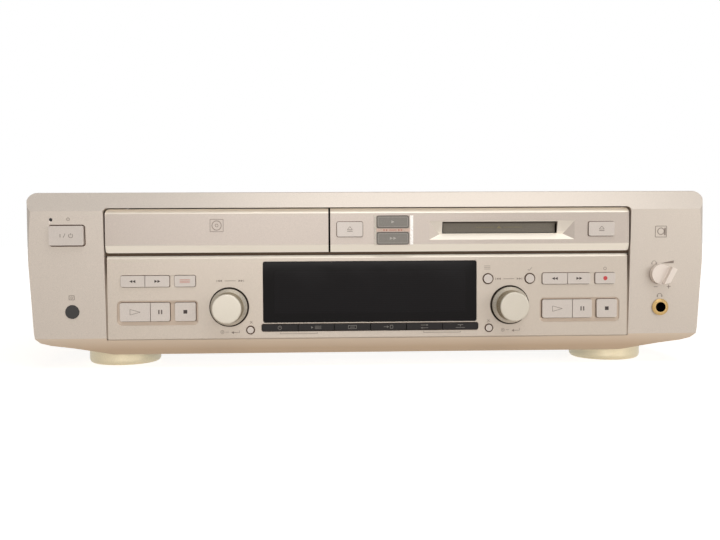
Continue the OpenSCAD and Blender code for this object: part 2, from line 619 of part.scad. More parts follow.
// The scoop round the slot, and the slot.
module slot_cut() {
  intersection() {
    translate([md_x + 1.1, 0, upper_low]) linear_extrude(upper_h)
      polygon([[-slot_w / 2 - 9.7, upper_y - 1], [-slot_w / 2 - 9.7, upper_y],
        [-slot_w / 2 - 2.7, upper_y + 3], [slot_w / 2 + 2.7, upper_y + 3],
        [slot_w / 2 + 9.7, upper_y], [slot_w / 2 + 9.7, upper_y - 1]]);
    side_profile(md_x - 100, md_x + 100, [[upper_y - 1, slot_low_z - 3.9], [upper_y, slot_low_z - 3.9],
      [upper_y + 3, slot_low_z - 0.4], [upper_y + 2.2, slot_low_z + 1.5], [upper_y, slot_top_z + 0.6],
      [upper_y - 1, slot_top_z + 0.6]]);
  }
  slab(md_x - slot_w / 2, md_x + slot_w / 2, upper_y - 1, board_y, slot_low_z, slot_top_z);
}

module display_window() color("#101012") union() {
  yblock(0, (glass_low_z + glass_top_z) / 2, 2 * glass_x, glass_top_z - glass_low_z, 1.2,
    face_y - 0.2, face_y + 1.6);
  yblock(0, (glass_low_z + glass_top_z) / 2, 2 * glass_x - 5, glass_top_z - glass_low_z - 5, 0.5,
    face_y + 1.5, face_y + 2.6);
}

module front_lenses() color("#1c1416") {
  ybar(lamp_xz[0], lamp_xz[1], 0.95, cheek_y(lamp_xz[1]) - 0.3, board_y - 10);
  ybar(lamp_xz[0], lamp_xz[1], 2, board_y - 10, board_y);
  ybar(sensor_xz[0], sensor_xz[1], sensor_r, sensor_y - 0.4, sensor_y + wall + 0.7);
  ybar(sensor_xz[0], sensor_xz[1], sensor_r + 1.6, sensor_y + wall + 0.6, board_y);
}

module phones_jack() color("#b48a3c") difference() {
  union() {
    translate([phones_xz[0], phones_y - 1.6, phones_xz[1]]) rotate([-90, 0, 0]) rotate_extrude()
      polygon([[0, 0], [4, 0], [5.3, 0.7], [5.3, 1.2], [0, 1.2]]);
    ybar(phones_xz[0], phones_xz[1], 4.5, phones_y - 1, board_y - 9.5);
    yblock(phones_xz[0], phones_xz[1], 12, 12, 1, board_y - 10, board_y);
  }
  ybar(phones_xz[0], phones_xz[1], phones_r, face_y - 10, board_y - 2);
}

// ---- keys ----

module power_key() color("#cdbdaa") key(power_xzwh[0], power_xzwh[1], power_wh[0], power_wh[1],
  cheek_y(power_xzwh[1]), power_out, wall + 0.5);
module upper_key(k, c) color(c) key(k[0], k[1], k[2], k[3], upper_y);
module open_close_key() upper_key(open_xzwh, "#cdbdaa");
module sync_upper_key() upper_key(sync_up_xzwh, "#55534f");
module sync_lower_key() upper_key(sync_low_xzwh, "#55534f");
module eject_key() upper_key(eject_xzwh, "#cdbdaa");
// A key of the small row or the play row, in the group from a to b.
module small_key(p, a, b) color("#cdbdaa")
  key(p[0], row_top_z, p[1], small_h, face_y, g = [left(a), right(b)]);
module play_key(p, a, b) color("#cdbdaa")
  key(p[0], row_play_z, p[1], play_h, face_y, play_out - recess_d, g = [left(a), right(b)]);
module cd_reverse_key() small_key(cd_reverse_xw, cd_reverse_xw, cd_forward_xw);
module cd_forward_key() small_key(cd_forward_xw, cd_reverse_xw, cd_forward_xw);
module cd_mode_key() small_key(cd_mode_xw, cd_mode_xw, cd_mode_xw);
module cd_play_key() play_key(cd_play_xw, cd_play_xw, cd_pause_xw);
module cd_pause_key() play_key(cd_pause_xw, cd_play_xw, cd_pause_xw);
module cd_stop_key() play_key(cd_stop_xw, cd_stop_xw, cd_stop_xw);
module md_reverse_key() small_key(md_reverse_xw, md_reverse_xw, md_forward_xw);
module md_forward_key() small_key(md_forward_xw, md_reverse_xw, md_forward_xw);
module md_record_key() small_key(md_record_xw, md_record_xw, md_record_xw);
module md_play_key() play_key(md_play_xw, md_play_xw, md_pause_xw);
module md_pause_key() play_key(md_pause_xw, md_play_xw, md_pause_xw);
module md_stop_key() play_key(md_stop_xw, md_stop_xw, md_stop_xw);
module cd_clear_key() color("#d8cbbb") round_key(cd_clear_xzr, face_y);
module md_clear_key() color("#d8cbbb") round_key(md_clear_xzr, face_y);
module md_menu_key() color("#d8cbbb") round_key(md_menu_xzr, face_y);
module md_yes_key() color("#d8cbbb") round_key(md_yes_xzr, face_y);
// One of the dark keys under the window, counted from the left.
strip_w = (2 * glass_x + 2 - (strip_count - 1) * strip_gap) / strip_count;
function strip_x(i) = -glass_x - 1 + strip_w / 2 + i * (strip_w + strip_gap);
module strip_key(i) color("#4b4a48")
  key(strip_x(i), strip_z, strip_w, strip_h, face_y, 0.6, g = [-glass_x - 1, glass_x + 1]);
module strip_key_1() strip_key(0);
module strip_key_2() strip_key(1);
module strip_key_3() strip_key(2);
module strip_key_4() strip_key(3);
module strip_key_5() strip_key(4);
module strip_key_6() strip_key(5);

// ---- dials and the level knob ----

// The dial's shaft: it slides in with the dial when pressed.
module dial_shaft(p) ybar(p[0], p[1], shaft_r, face_y - dial_out + 4, board_y - 2.2);
module cd_dial_shaft() color("#9a9c9e") dial_shaft(cd_dial_xz);
module md_dial_shaft() color("#9a9c9e") dial_shaft(md_dial_xz);
// A dial: flat nose, straight barrel and a flared skirt, hollow behind.
module dial(p) color("#d2c3af") translate([p[0], face_y - dial_out, p[1]]) rotate([-90, 0, 0])
  difference() {
    rotate_extrude() polygon(concat([[0, 0]], arc(dial_nose_r - 0.8, 0.8, 0.8, -90, 0, 4),
      [[dial_nose_r + 0.2, dial_out - 7.2], [dial_nose_r + 0.5, dial_out - 5.6],
      [dial_foot_r - 0.5, dial_out - 3.6], [dial_foot_r, dial_out - 2.9],
      [dial_foot_r, dial_out - key_travel - 0.4], [dial_foot_r - 0.2, dial_out - key_travel - 0.2],
      [0, dial_out - key_travel - 0.2]]));
    translate([0, 0, 3.8]) cylinder(h = dial_out, r = shaft_r + run_gap);
    translate([0, 0, dial_out - 3.5]) cylinder(h = 5, r = 8);
  }
module cd_dial() dial(cd_dial_xz);
module md_dial() dial(md_dial_xz);

// The level knob: a disc, a raised bar near its edge whose tip reaches past it, and its shaft.
module level_knob() color("#d2c3af") translate([level_xz[0], level_y, level_xz[1]])
  rotate([0, level_angle, 0]) {
    rotate([90, 0, 0]) translate([0, 0, 0.7]) cylinder(h = 4.3, r = level_r);
    rotate([90, 0, 0]) translate([0, 0, 4.5]) linear_extrude(4.5) polygon([[level_r - 3.7, -level_r + 0.9],
      [level_r - 0.5, -level_r + 3.7], [level_r - 0.3, level_r + 0.3], [level_r - 3.7, level_r + 0.3]]);
    rotate([90, 0, 0]) translate([0, 0, -12]) cylinder(h = 13, r = shaft_r);
  }

// ---- boards and power ----

// A press switch on a board, under the key at x, z.
module switch(x, z) {
  slab(x - 3, x + 3, board_y - 3.5, board_y, z - 3, z + 3);
  ybar(x, z, 1.6, board_y - 4.2, board_y - 3.5);
}
module control_board() color("#2f5d3a") {
  // behind the control panel
  slab(-control_x + 3.2, control_x - 3.2, board_y, board_y + 1.6, panel_low + 2.3, panel_top - 2.7);
  for (p = [cd_reverse_xw, cd_forward_xw, cd_mode_xw, md_reverse_xw, md_forward_xw, md_record_xw])
    switch(p[0], row_top_z);
  for (p = [cd_play_xw, cd_pause_xw, cd_stop_xw, md_play_xw, md_pause_xw, md_stop_xw])
    switch(p[0], row_play_z);
  for (p = [cd_clear_xzr, md_clear_xzr, md_menu_xzr, md_yes_xzr]) switch(p[0], p[1]);
  for (i = [0:strip_count - 1]) switch(strip_x(i), strip_z);
  for (p = [cd_dial_xz, md_dial_xz]) difference() {
    union() {
      yblock(p[0], p[1], 12, 12, 0.5, board_y - 6.5, board_y);
      ybar(p[0], p[1], shaft_r + 1.5, board_y - 11, board_y - 6.5);
    }
    ybar(p[0], p[1], shaft_r + run_gap, face_y - 10, board_y - 2.2 + key_travel + 0.4);
  }
  // display tube
  slab(-glass_x + 10, glass_x - 10, board_y - 9, board_y, glass_low_z + 3.5, glass_top_z - 3.1);
  // behind the minidisc panel, on both sides of its mechanism
  slab(upper_x + 3.2, sync_x + 18.2, board_y, board_y + 1.6, upper_low + 2.9, upper_top - 2.7);
  for (k = [open_xzwh, sync_up_xzwh, sync_low_xzwh]) switch(k[0], k[1]);
  slab(panel_x - 29.4, panel_x - 3.4, board_y, board_y + 1.6, upper_low + 2.9, upper_top - 2.7);
  switch(eject_xzwh[0], eject_xzwh[1]);
  // behind the cheeks
  for (s = [-1, 1])
    side_slab(0, s, window_x + 5.1, half_w - 6.9, board_y, board_y + 1.6, mid_z - 47.5, upper_top - 1.7);
  switch(power_xzwh[0], power_xzwh[1]);
  difference() {
    union() {
      yblock(level_xz[0], level_xz[1], 13, 13, 1, board_y - 8, board_y);
      ybar(level_xz[0], level_xz[1], shaft_r + 0.8, board_y - 12.6, board_y - 8);
    }
    ybar(level_xz[0], level_xz[1], shaft_r + run_gap, face_y - 10, board_y - 2);
  }
}

// The main board lies behind the minidisc mechanism, on posts.
board_z = floor_z + 7.8;
board_front = md_y + 78;
board_posts = [for (x = [4, half_w - 18.9]) for (y = [board_front + 7, rear_y - 16.2]) [x, y]];
module main_board() color("#2f5d3a") {
  slab(-6, half_w - 8.9, board_front, rear_y - 8.2, board_z, board_z + 1.6);
  // capacitors: x, y, radius, height
  for (p = [[20, 62, 6, 26], [36, 66, 5, 20], [58, 76, 5, 20], [190, 27, 4, 16], [176, 27, 4, 16]])
    zbar(p[0], board_front + p[1], p[2], board_z + 1.6, board_z + 1.6 + p[3]);
  // chips: x, y, width, depth
  for (p = [[70, 37, 26, 26], [120, 37, 22, 22], [150, 66, 16, 20], [90, 72, 14, 10]])
    slab(p[0] - p[2] / 2, p[0] + p[2] / 2, board_front + p[1] - p[3] / 2, board_front + p[1] + p[3] / 2,
      board_z + 1.6, board_z + 4.4);
  // heat sink
  for (i = [0:6]) slab(14 + i * 4, 15.5 + i * 4, board_front + 16, board_front + 48, board_z + 4, board_z + 30);
  slab(14, 39.5, board_front + 16, board_front + 48, board_z + 1.6, board_z + 4);
}

module power_transformer() color("#55504a") {
  x = -half_w + 26.4;
  y = rear_y - 36.2;
  slab(x - 19.5, x + 19.5, y - 22, y + 22, side_low_z + 1, side_low_z + 2.5);
  slab(x - 18, x + 18, y - 16, y + 16, side_low_z + 2.5, side_low_z + 38);
  yblock(x, side_low_z + 20, 24, 26, 3, y - 25, y + 25);
  // feet down to the chassis floor
  for (dx = [-14, 14]) for (dy = [-19, 19]) zbar(x + dx, y + dy, 2.5, floor_z + (side_low_z + 1 - floor_z) *
    max(0, (-x - dx + 2.5 - under_x) / (cover_x - 2 * sheet - under_x)) + 0.1, side_low_z + 1.5);
}

module rear_jacks() color("#1d1d1f") {
  difference() {
    union() {
      slab(phono_x[0] - 8, phono_x[1] + 8, rear_y - 16, rear_y - sheet, phono_z[0] - 14, phono_z[1] + 10);
      for (x = phono_x) for (z = phono_z) {
        ybar(x, z, phono_r, rear_y - sheet - 1, rear_y + phono_out);
        difference() {
          ybar(x, z, phono_r + 2.2, rear_y, rear_y + 1);
          ybar(x, z, phono_r - 0.5, rear_y - 1, rear_y + 3);
        }
      }
    }
    for (x = phono_x) for (z = phono_z) ybar(x, z, 1.6, rear_y + 1, rear_y + phono_out + 1);
  }
  slab(phono_x[0] - 8, phono_x[1] + 8, rear_y - 22.2, rear_y - 15.9, board_z + 1.6, phono_z[0] - 10);
  for (x = optical_x) {
    yblock(x, optical_z, 14, 11, 0.6, rear_y - 14, rear_y + 1.2);
    yblock(x, optical_z, 9, 9, 1, rear_y + 1, rear_y + 1.8);
    slab(x - 6, x + 6, rear_y - 14, rear_y - 8.3, board_z + 1.6, optical_z);
  }
}

module power_gland() color("#161617") difference() {
  union() {
    yblock(gland_xz[0], gland_xz[1], 15, 11, 2, rear_y - 6, rear_y + 0.2);
    yblock(gland_xz[0], gland_xz[1], 18, 14, 3, rear_y, rear_y + 2);
    yblock(gland_xz[0], gland_xz[1], 12, 9, 3, rear_y + 1.5, rear_y + 8);
    yblock(gland_xz[0], gland_xz[1], 18, 14, 3, rear_y - 6, rear_y - sheet - 0.1);
  }
  ybar(gland_xz[0], gland_xz[1], 3, rear_y - 2, rear_y + 20);
}

// ---- CD mechanism ----

// The frame with its rails, legs, clamper bridge, spindle motor, guide rods and loading motor.
module cd_frame() color("#3b3c3e") {
  hw = tray_w / 2;
  front = front_back_y + 4;
  back = tray_rear_y + 10;
  low = tray_z - 26;
  rod_end = cd_y + 72 + cd_sled_travel;
  difference() {
    union() {
      slab(cd_x - hw - 5, cd_x + hw + 5, front, back, low, low + 2.5);
      for (s = [-1, 1]) {
        side_slab(cd_x, s, hw + 0.5, hw + 5, front, back, low, tray_z + 14);
        side_slab(cd_x, s, hw - 4, hw + 1, front, back, tray_z - 5, tray_z - 0.3);
        for (y = [cd_y - 37, cd_y + 53])
          side_slab(cd_x, s, hw - 2, hw + 1, y, y + 16, tray_z + tray_t + 0.4, tray_z + tray_t + 3);
        for (y = [front + 7, back - 7]) zbar(cd_x + s * (hw - 6), y, 5, floor_z, low + 0.5);
      }
      slab(cd_x - hw - 5, cd_x + hw + 5, front, front + 2.5, low, tray_z - 6);
      slab(cd_x - hw - 5, cd_x + hw + 5, back - 2.5, back, low, tray_z - 6);
      slab(cd_x - hw - 5, cd_x + hw + 5, cd_y - 12, cd_y + 12, tray_z + 14, tray_z + 16);
      zbar(cd_x, cd_y, 12, low + 2, low + 12);
      for (s = [-24, 24]) {
        ybar(cd_x + s, tray_z - 12, cd_rod_r, cd_y + 7, rod_end + 5);
        slab(cd_x + s - 3, cd_x + s + 3, cd_y + 6, cd_y + 10, low + 2, tray_z - 9);
        slab(cd_x + s - 3, cd_x + s + 3, rod_end, rod_end + 5.6, low + 2, tray_z - 9);
      }
      zbar(rack_x + gear_rp, gear_y + 30, 9, low + 2, tray_z - 8);
      zbar(rack_x + gear_rp, gear_y, 4, low + 2, tray_z - 3.8);
      zbar(rack_x + gear_rp, gear_y, 2, low + 2, tray_z - 0.6);
    }
    zbar(cd_x, cd_y, 1.5 + run_gap, low + 4, tray_z);
    zbar(cd_x, cd_y, 5.8, tray_z + 10, tray_z + 20);
    slab(cd_x - 17, cd_x + 17, cd_y + 15, rod_end - 2, low - 5, low + 5);
  }
}

module cd_tray() color("#2a2a2c") difference() {
  union() {
    translate([0, 0, tray_z]) linear_extrude(tray_t)
      translate([cd_x, (tray_rear_y + upper_y + face_t) / 2])
        rounded(tray_w, tray_rear_y - upper_y - face_t, 2);
    translate([0, 0, tray_z - 3.6]) linear_extrude(3.8) rack_outline();
  }
  zbar(cd_x, cd_y, disc_r, tray_z + tray_t - 3, tray_z + 20);
  zbar(cd_x, cd_y, 40.5, tray_z + tray_t - 4.4, tray_z + 20);
  zbar(cd_x, cd_y, 20, tray_z - 9, tray_z + 20);
  slab(cd_x - 20, cd_x + 20, cd_y, tray_rear_y + 5, tray_z - 9, tray_z + 20);
}
// Rack under the tray: straight-flanked teeth facing +X, with a space at the gear's middle.
module rack_outline() {
  p = PI * gear_m;
  n0 = floor((upper_y + 5 - gear_y) / p) + 1;
  n1 = floor((tray_rear_y - 2 - gear_y) / p) - 1;
  root = rack_x - 1.25 * gear_m;
  tip = rack_x + gear_m;
  ht = p / 4 - 0.08;
  polygon(concat([[rack_x - 4, gear_y + n0 * p], [root, gear_y + n0 * p]],
    [for (i = [n0:n1]) let (c = gear_y + (i + 0.5) * p) each
      [[root, c - ht - 0.455 * gear_m], [tip, c - ht + 0.364 * gear_m],
       [tip, c + ht - 0.364 * gear_m], [root, c + ht + 0.455 * gear_m]]],
    [[root, gear_y + (n1 + 1) * p], [rack_x - 4, gear_y + (n1 + 1) * p]]));
}
function inv_deg(r, rb) = tan(acos(rb / r)) * 180 / PI - acos(rb / r);
// Half the angle a tooth takes at its middle, and at radius r.
tooth_half = 90 / gear_teeth - 0.45;
function half_at(r, rb) = tooth_half + inv_deg(gear_rp, rb) - inv_deg(r, rb);
// Loading gear with involute teeth, turning on the frame's post.
module cd_loading_gear() color("#e6e2d8") {
  rb = gear_rp * cos(20);
  rf = gear_rp - 1.25 * gear_m;
  radii = [rb + 0.02, rb + 0.3, gear_rp, gear_rp + 0.5 * gear_m, gear_rp + gear_m];
  translate([rack_x + gear_rp, gear_y, tray_z - 3.8]) difference() {
    linear_extrude(3) polygon([for (i = [0:gear_teeth - 1]) let (a = 180 + i * 360 / gear_teeth) each concat(
      [[rf * cos(a - tooth_half - 2), rf * sin(a - tooth_half - 2)]],
      [for (r = radii) [r * cos(a - half_at(r, rb)), r * sin(a - half_at(r, rb))]],
      [for (k = [4:-1:0]) let (r = radii[k]) [r * cos(a + half_at(r, rb)), r * sin(a + half_at(r, rb))]],
      [[rf * cos(a + tooth_half + 2), rf * sin(a + tooth_half + 2)]])]);
    translate([0, 0, -1]) cylinder(h = 6, r = 2 + run_gap);
  }
}

module cd_tray_front() color("#c6b5a2") upper_shell(-panel_x, door_end, -1);

module cd_turntable() color("#1a1a1b") union() {
  zbar(cd_x, cd_y, 14, tray_z + 2.4, tray_z + 5);
  translate([cd_x, cd_y, tray_z + 5]) cylinder(h = 1.8, r1 = 7.4, r2 = 6.4);
  zbar(cd_x, cd_y, 1.5, tray_z - 21, tray_z + 2.5);
}

module cd_sled() color("#4d4f52") difference() {
  union() {
    slab(cd_x - 27.5, cd_x + 27.5, cd_y + 15, cd_y + 39, tray_z - 15, tray_z - 8);
    slab(cd_x - 14, cd_x + 14, cd_y + 14, cd_y + 40, tray_z - 17, tray_z - 5);
    zbar(cd_x, cd_y + 25, 4, tray_z - 6, tray_z - 1.5);
  }
  for (s = [-24, 24]) ybar(cd_x + s, tray_z - 12, cd_rod_r + run_gap, cd_y, cd_y + 60);
}

module cd_clamper() color("#1a1a1b") union() {
  zbar(cd_x, cd_y, 15, tray_z + tray_t + 2.4, tray_z + 12);
  zbar(cd_x, cd_y, 5, tray_z + 11.9, tray_z + 17);
  zbar(cd_x, cd_y, 8.5, tray_z + 16, tray_z + 17.4);
}

// ---- minidisc mechanism ----

module slot_flap() color("#3c3b39") {
  y = flap_y;
  z = slot_top_z - 0.7;
  xbar(y, z, 0.6, md_x - slot_w / 2 + 0.9, md_x + slot_w / 2 - 0.9);
  slab(md_x - slot_w / 2 + 0.9, md_x + slot_w / 2 - 0.9, y - 0.6, y + 0.6, slot_low_z + 0.4, z);
  xbar(y, z, 0.7, md_x - slot_w / 2 - 2.2, md_x - slot_w / 2 + 1);
  xbar(y, z, 0.7, md_x + slot_w / 2 - 1, md_x + slot_w / 2 + 2.2);
}

// Height of the holder's pins, and the minidisc frame's floor.
pin_z = (slot_low_z + slot_top_z) / 2;
md_floor = slot_low_z - 23.4;
module md_frame() color("#8c8e90") {
  hw = slot_w / 2;
  front = front_back_y + 4;
  back = md_y + 71;
  rod_end = md_y + 39 + md_sled_travel;
  difference() {
    union() {
      slab(md_x - hw - 5, md_x + hw + 5, front, back, md_floor, md_floor + 2);
      for (s = [-1, 1]) {
        side_slab(md_x, s, hw + 3.5, hw + 5, front, back, md_floor, slot_top_z + 7.1);
        for (y = [front + 5, back - 5]) zbar(md_x + s * hw, y, 4, floor_z, md_floor + 0.5);
      }
      slab(md_x - hw - 5, md_x + hw + 5, back - 1.5, back, md_floor, slot_top_z + 7.1);
      slab(md_x - hw - 5, md_x + hw + 5, back - 24, back, slot_top_z + 5.6, slot_top_z + 7.1);
      zbar(md_x, md_y, 8, md_floor + 1, md_floor + 10);
      for (s = [-15, 15]) {
        ybar(md_x + s, md_floor + 8, md_rod_r, md_y + 9, rod_end + 2);
        slab(md_x + s - 2.5, md_x + s + 2.5, md_y + 8, md_y + 11, md_floor + 1, md_floor + 11);
        slab(md_x + s - 2.5, md_x + s + 2.5, rod_end, rod_end + 3, md_floor + 1, md_floor + 11);
      }
    }
    zbar(md_x, md_y, 1 + run_gap, md_floor + 2, slot_top_z);
    for (y = [md_y - 20, md_y + 20])
      slab(md_x - hw - 20, md_x + hw + 20, y - 1.5, y + 1.5, pin_z - holder_drop - 2.6, pin_z + 1.6);
  }
}

module md_holder() color("#a9abad") {
  hw = slot_w / 2;
  difference() {
    slab(md_x - hw - 1.5, md_x + hw + 1.5, md_y - 36, md_y + 34, slot_low_z - 0.8, slot_top_z + 0.3);
    slab(md_x - hw - 0.2, md_x + hw + 0.2, md_y - 40, md_y + 33, slot_low_z + 0.2, slot_top_z - 0.7);
    zbar(md_x, md_y, 12, slot_low_z - 5, slot_low_z + 3);
    slab(md_x - 12, md_x + 12, md_y, md_y + 29, slot_low_z - 5, slot_low_z + 3);
    slab(md_x - 25, md_x + 25, md_y - 45, md_y - 15, slot_top_z - 3, slot_top_z + 5);
  }
  for (s = [-1, 1]) for (y = [md_y - 20, md_y + 20])
    xbar(y, pin_z, 1.2, min(md_x + s * (hw + 1), md_x + s * (hw + 6)), max(md_x + s * (hw + 1), md_x + s * (hw + 6)));
}

module md_turntable() color("#1a1a1b") union() {
  zbar(md_x, md_y, 7.5, slot_low_z - 6.4, slot_low_z - 4.2);
  zbar(md_x, md_y, 3, slot_low_z - 4.4, slot_low_z - 3.4);
  zbar(md_x, md_y, 1, md_floor + 3, slot_low_z - 6.2);
}

module md_sled() color("#4d4f52") difference() {
  union() {
    slab(md_x - 18, md_x + 18, md_y + 13, md_y + 31, md_floor + 6, md_floor + 10.5);
    slab(md_x - 9, md_x + 9, md_y + 12, md_y + 32, md_floor + 5, md_floor + 14);
    zbar(md_x, md_y + 15, 2.6, md_floor + 13.5, md_floor + 16.5);
  }
  for (s = [-15, 15]) ybar(md_x + s, md_floor + 8, md_rod_r + run_gap, md_y + 5, md_y + 40);
}

top_cover();
bottom_chassis();
rear_panel();
front_panel();
control_panel();
md_panel();
display_window();
front_lenses();
feet();
case_screws();
power_transformer();
main_board();
control_board();
rear_jacks();
power_gland();
phones_jack();
cd_frame();
md_frame();
power_key();
cd_reverse_key();
cd_forward_key();
cd_mode_key();
cd_play_key();
cd_pause_key();
cd_stop_key();
cd_clear_key();
strip_key_1();
strip_key_2();
strip_key_3();
strip_key_4();
strip_key_5();
strip_key_6();
md_menu_key();
md_yes_key();
md_reverse_key();
md_forward_key();
md_record_key();
md_play_key();
md_pause_key();
md_stop_key();
md_clear_key();
open_close_key();
sync_upper_key();
sync_lower_key();
eject_key();
cd_dial_shaft();
cd_dial();
md_dial_shaft();
md_dial();
level_knob();
cd_tray();
cd_tray_front();
cd_loading_gear();
cd_turntable();
cd_sled();
cd_clamper();
slot_flap();
md_holder();
md_turntable();
md_sled();
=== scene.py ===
import math
import bpy
import bmesh
from mathutils import Matrix, Vector


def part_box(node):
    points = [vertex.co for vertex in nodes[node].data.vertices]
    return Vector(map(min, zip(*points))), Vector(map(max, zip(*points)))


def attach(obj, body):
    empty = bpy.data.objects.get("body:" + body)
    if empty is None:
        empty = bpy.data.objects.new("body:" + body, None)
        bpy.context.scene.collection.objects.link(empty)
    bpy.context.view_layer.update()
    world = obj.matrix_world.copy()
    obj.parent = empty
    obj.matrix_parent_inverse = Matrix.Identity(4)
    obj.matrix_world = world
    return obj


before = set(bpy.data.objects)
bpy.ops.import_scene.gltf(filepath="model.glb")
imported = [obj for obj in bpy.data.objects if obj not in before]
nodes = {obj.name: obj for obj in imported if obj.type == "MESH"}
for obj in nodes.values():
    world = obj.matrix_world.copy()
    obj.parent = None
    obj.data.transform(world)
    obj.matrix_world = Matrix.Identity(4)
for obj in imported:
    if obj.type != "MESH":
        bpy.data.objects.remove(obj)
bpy.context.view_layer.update()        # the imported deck, in metres, standing on z = 0

# ---------------------------------------------------------------------------
# Camera. It stands a little above the floor, half a metre in front of the
# deck and just left of its middle, as the picture was taken.
camera_data = bpy.data.cameras.new("camera")
camera_data.lens = 42.95
camera_data.sensor_width = 36.0
camera_data.clip_start = 0.01
camera = bpy.data.objects.new("camera", camera_data)
bpy.context.scene.collection.objects.link(camera)
yaw, pitch, roll = (math.radians(a) for a in (2.2809, 2.3725, 0.2939))
ahead = Vector((math.sin(yaw) * math.cos(pitch), math.cos(yaw) * math.cos(pitch), -math.sin(pitch)))
across = Vector((math.cos(yaw), -math.sin(yaw), 0.0))
downward = ahead.cross(across)
across, downward = (math.cos(roll) * across + math.sin(roll) * downward,
                    -math.sin(roll) * across + math.cos(roll) * downward)
camera.matrix_world = Matrix.Translation((-0.0282242, -0.6721281, 0.0851505)) @ Matrix(
    (across, -downward, -ahead)).transposed().to_4x4()
bpy.context.scene.camera = camera
bpy.context.scene.view_settings.view_transform = "Standard"

# ---------------------------------------------------------------------------
# Studio. A pale table that runs back into a white room, with three wide soft
# lamps: one above the deck, one well in front of it and one at its right.


def linear(rgb):
    """A colour given as 0 to 255 in sRGB, as Blender's shaders want it."""
    out = []
    for c in rgb:
        c = c / 255.0
        out.append(c / 12.92 if c <= 0.04045 else ((c + 0.055) / 1.055) ** 2.4)
    return (*out, 1.0)


def joined(tree, operation, a, b=0.0):
    """A math node on two values; each is a number or a socket."""
    node = tree.nodes.new("ShaderNodeMath")
    node.operation = operation
    for value, socket in zip((a, b), node.inputs):
        if isinstance(value, bpy.types.NodeSocket):
            tree.links.new(value, socket)
        else:
            socket.default_value = value
    return node.outputs[0]


def axes_of(tree, place):
    """The X, Y and Z of a place or a direction."""
    split = tree.nodes.new("ShaderNodeSeparateXYZ")
    tree.links.new(place, split.inputs[0])
    return split.outputs


def banded(tree, value, low, high, to_low=0.0, to_high=1.0):
    """value from low to high, stretched to to_low to to_high and held at both ends."""
    stretch = tree.nodes.new("ShaderNodeMapRange")
    tree.links.new(value, stretch.inputs["Value"])
    for name, number in (("From Min", low), ("From Max", high), ("To Min", to_low), ("To Max", to_high)):
        stretch.inputs[name].default_value = number
    return stretch.outputs["Result"]


def seen_by_eye(tree):
    """1 for what the camera, a mirror or a glass shows, 0 for the light that a thing casts."""
    path = tree.nodes.new("ShaderNodeLightPath").outputs
    mirrored = joined(tree, "MAXIMUM", path["Is Camera Ray"], path["Is Glossy Ray"])
    return joined(tree, "MAXIMUM", mirrored, path["Is Transmission Ray"])


def glow(tree, kind, colour, strength=1.0):
    """A background or emission node of that colour."""
    node = tree.nodes.new(kind)
    node.inputs["Color"].default_value = colour
    node.inputs["Strength"].default_value = strength
    return node


white = (1.0, 1.0, 1.0, 1.0)
world = bpy.data.worlds.new("white room")
bpy.context.scene.world = world
world.use_nodes = True
room = world.node_tree
room.nodes.clear()
room_light = glow(room, "ShaderNodeBackground", linear((250, 247, 243)), 0.24)
room_white = glow(room, "ShaderNodeBackground", white)
room_mix = room.nodes.new("ShaderNodeMixShader")
room_out = room.nodes.new("ShaderNodeOutputWorld")
room.links.new(seen_by_eye(room), room_mix.inputs[0])
room.links.new(room_light.outputs[0], room_mix.inputs[1])
room.links.new(room_white.outputs[0], room_mix.inputs[2])
room.links.new(room_mix.outputs[0], room_out.inputs["Surface"])

table_mesh = bpy.data.meshes.new("table top")
table_mesh.from_pydata([(-4, -3, 0), (4, -3, 0), (4, 6, 0), (-4, 6, 0)], [], [(0, 1, 2, 3)])
table = bpy.data.objects.new("table_top", table_mesh)
bpy.context.scene.collection.objects.link(table)
table_paint = bpy.data.materials.new("table white")
table_paint.use_nodes = True
tree = table_paint.node_tree
tree.nodes.clear()
matt = tree.nodes.new("ShaderNodeBsdfDiffuse")
matt.inputs["Color"].default_value = linear((214, 205, 194))
lift = glow(tree, "ShaderNodeEmission", white)
# near the deck the table keeps its soft shadow; far off it runs into the white room
shadow_end, white_start = 0.16, 0.55
table_axes = axes_of(tree, tree.nodes.new("ShaderNodeTexCoord").outputs["Object"])
from_deck = joined(tree, "ABSOLUTE", table_axes["Y"])
lift_amount = banded(tree, from_deck, shadow_end, white_start, 0.8, 1.0)
tree.links.new(joined(tree, "MULTIPLY", seen_by_eye(tree), lift_amount), lift.inputs["Strength"])
both = tree.nodes.new("ShaderNodeAddShader")
table_out = tree.nodes.new("ShaderNodeOutputMaterial")
tree.links.new(matt.outputs[0], both.inputs[0])
tree.links.new(lift.outputs[0], both.inputs[1])
tree.links.new(both.outputs[0], table_out.inputs["Surface"])
table_mesh.materials.append(table_paint)

for lamp_name, place, aim, size, watts, tint in (
        ("lamp_above", (0.24, -0.78, 1.26), (0.05, -0.1, 0.08), 0.9, 6.2, (255, 254, 251)),
        ("lamp_front", (-0.1, -2.0, 0.25), (0.0, -0.1, 0.05), 1.0, 9.0, (255, 253, 252)),
        ("lamp_right", (1.2, -1.3, 0.3), (0.15, -0.1, 0.05), 0.9, 6.4, (255, 253, 248))):
    lamp_data = bpy.data.lights.new(lamp_name, "AREA")
    lamp_data.size = size
    lamp_data.energy = watts
    lamp_data.color = linear(tint)[:3]
    lamp = bpy.data.objects.new(lamp_name, lamp_data)
    bpy.context.scene.collection.objects.link(lamp)
    lamp.location = place
    lamp.rotation_euler = (Vector(aim) - Vector(place)).to_track_quat("-Z", "Y").to_euler()

# ---------------------------------------------------------------------------
# Chassis. A tray of zinc-plated sheet steel folded up at the front and the
# sides, with louvres in its floor. Everything else is screwed to it.


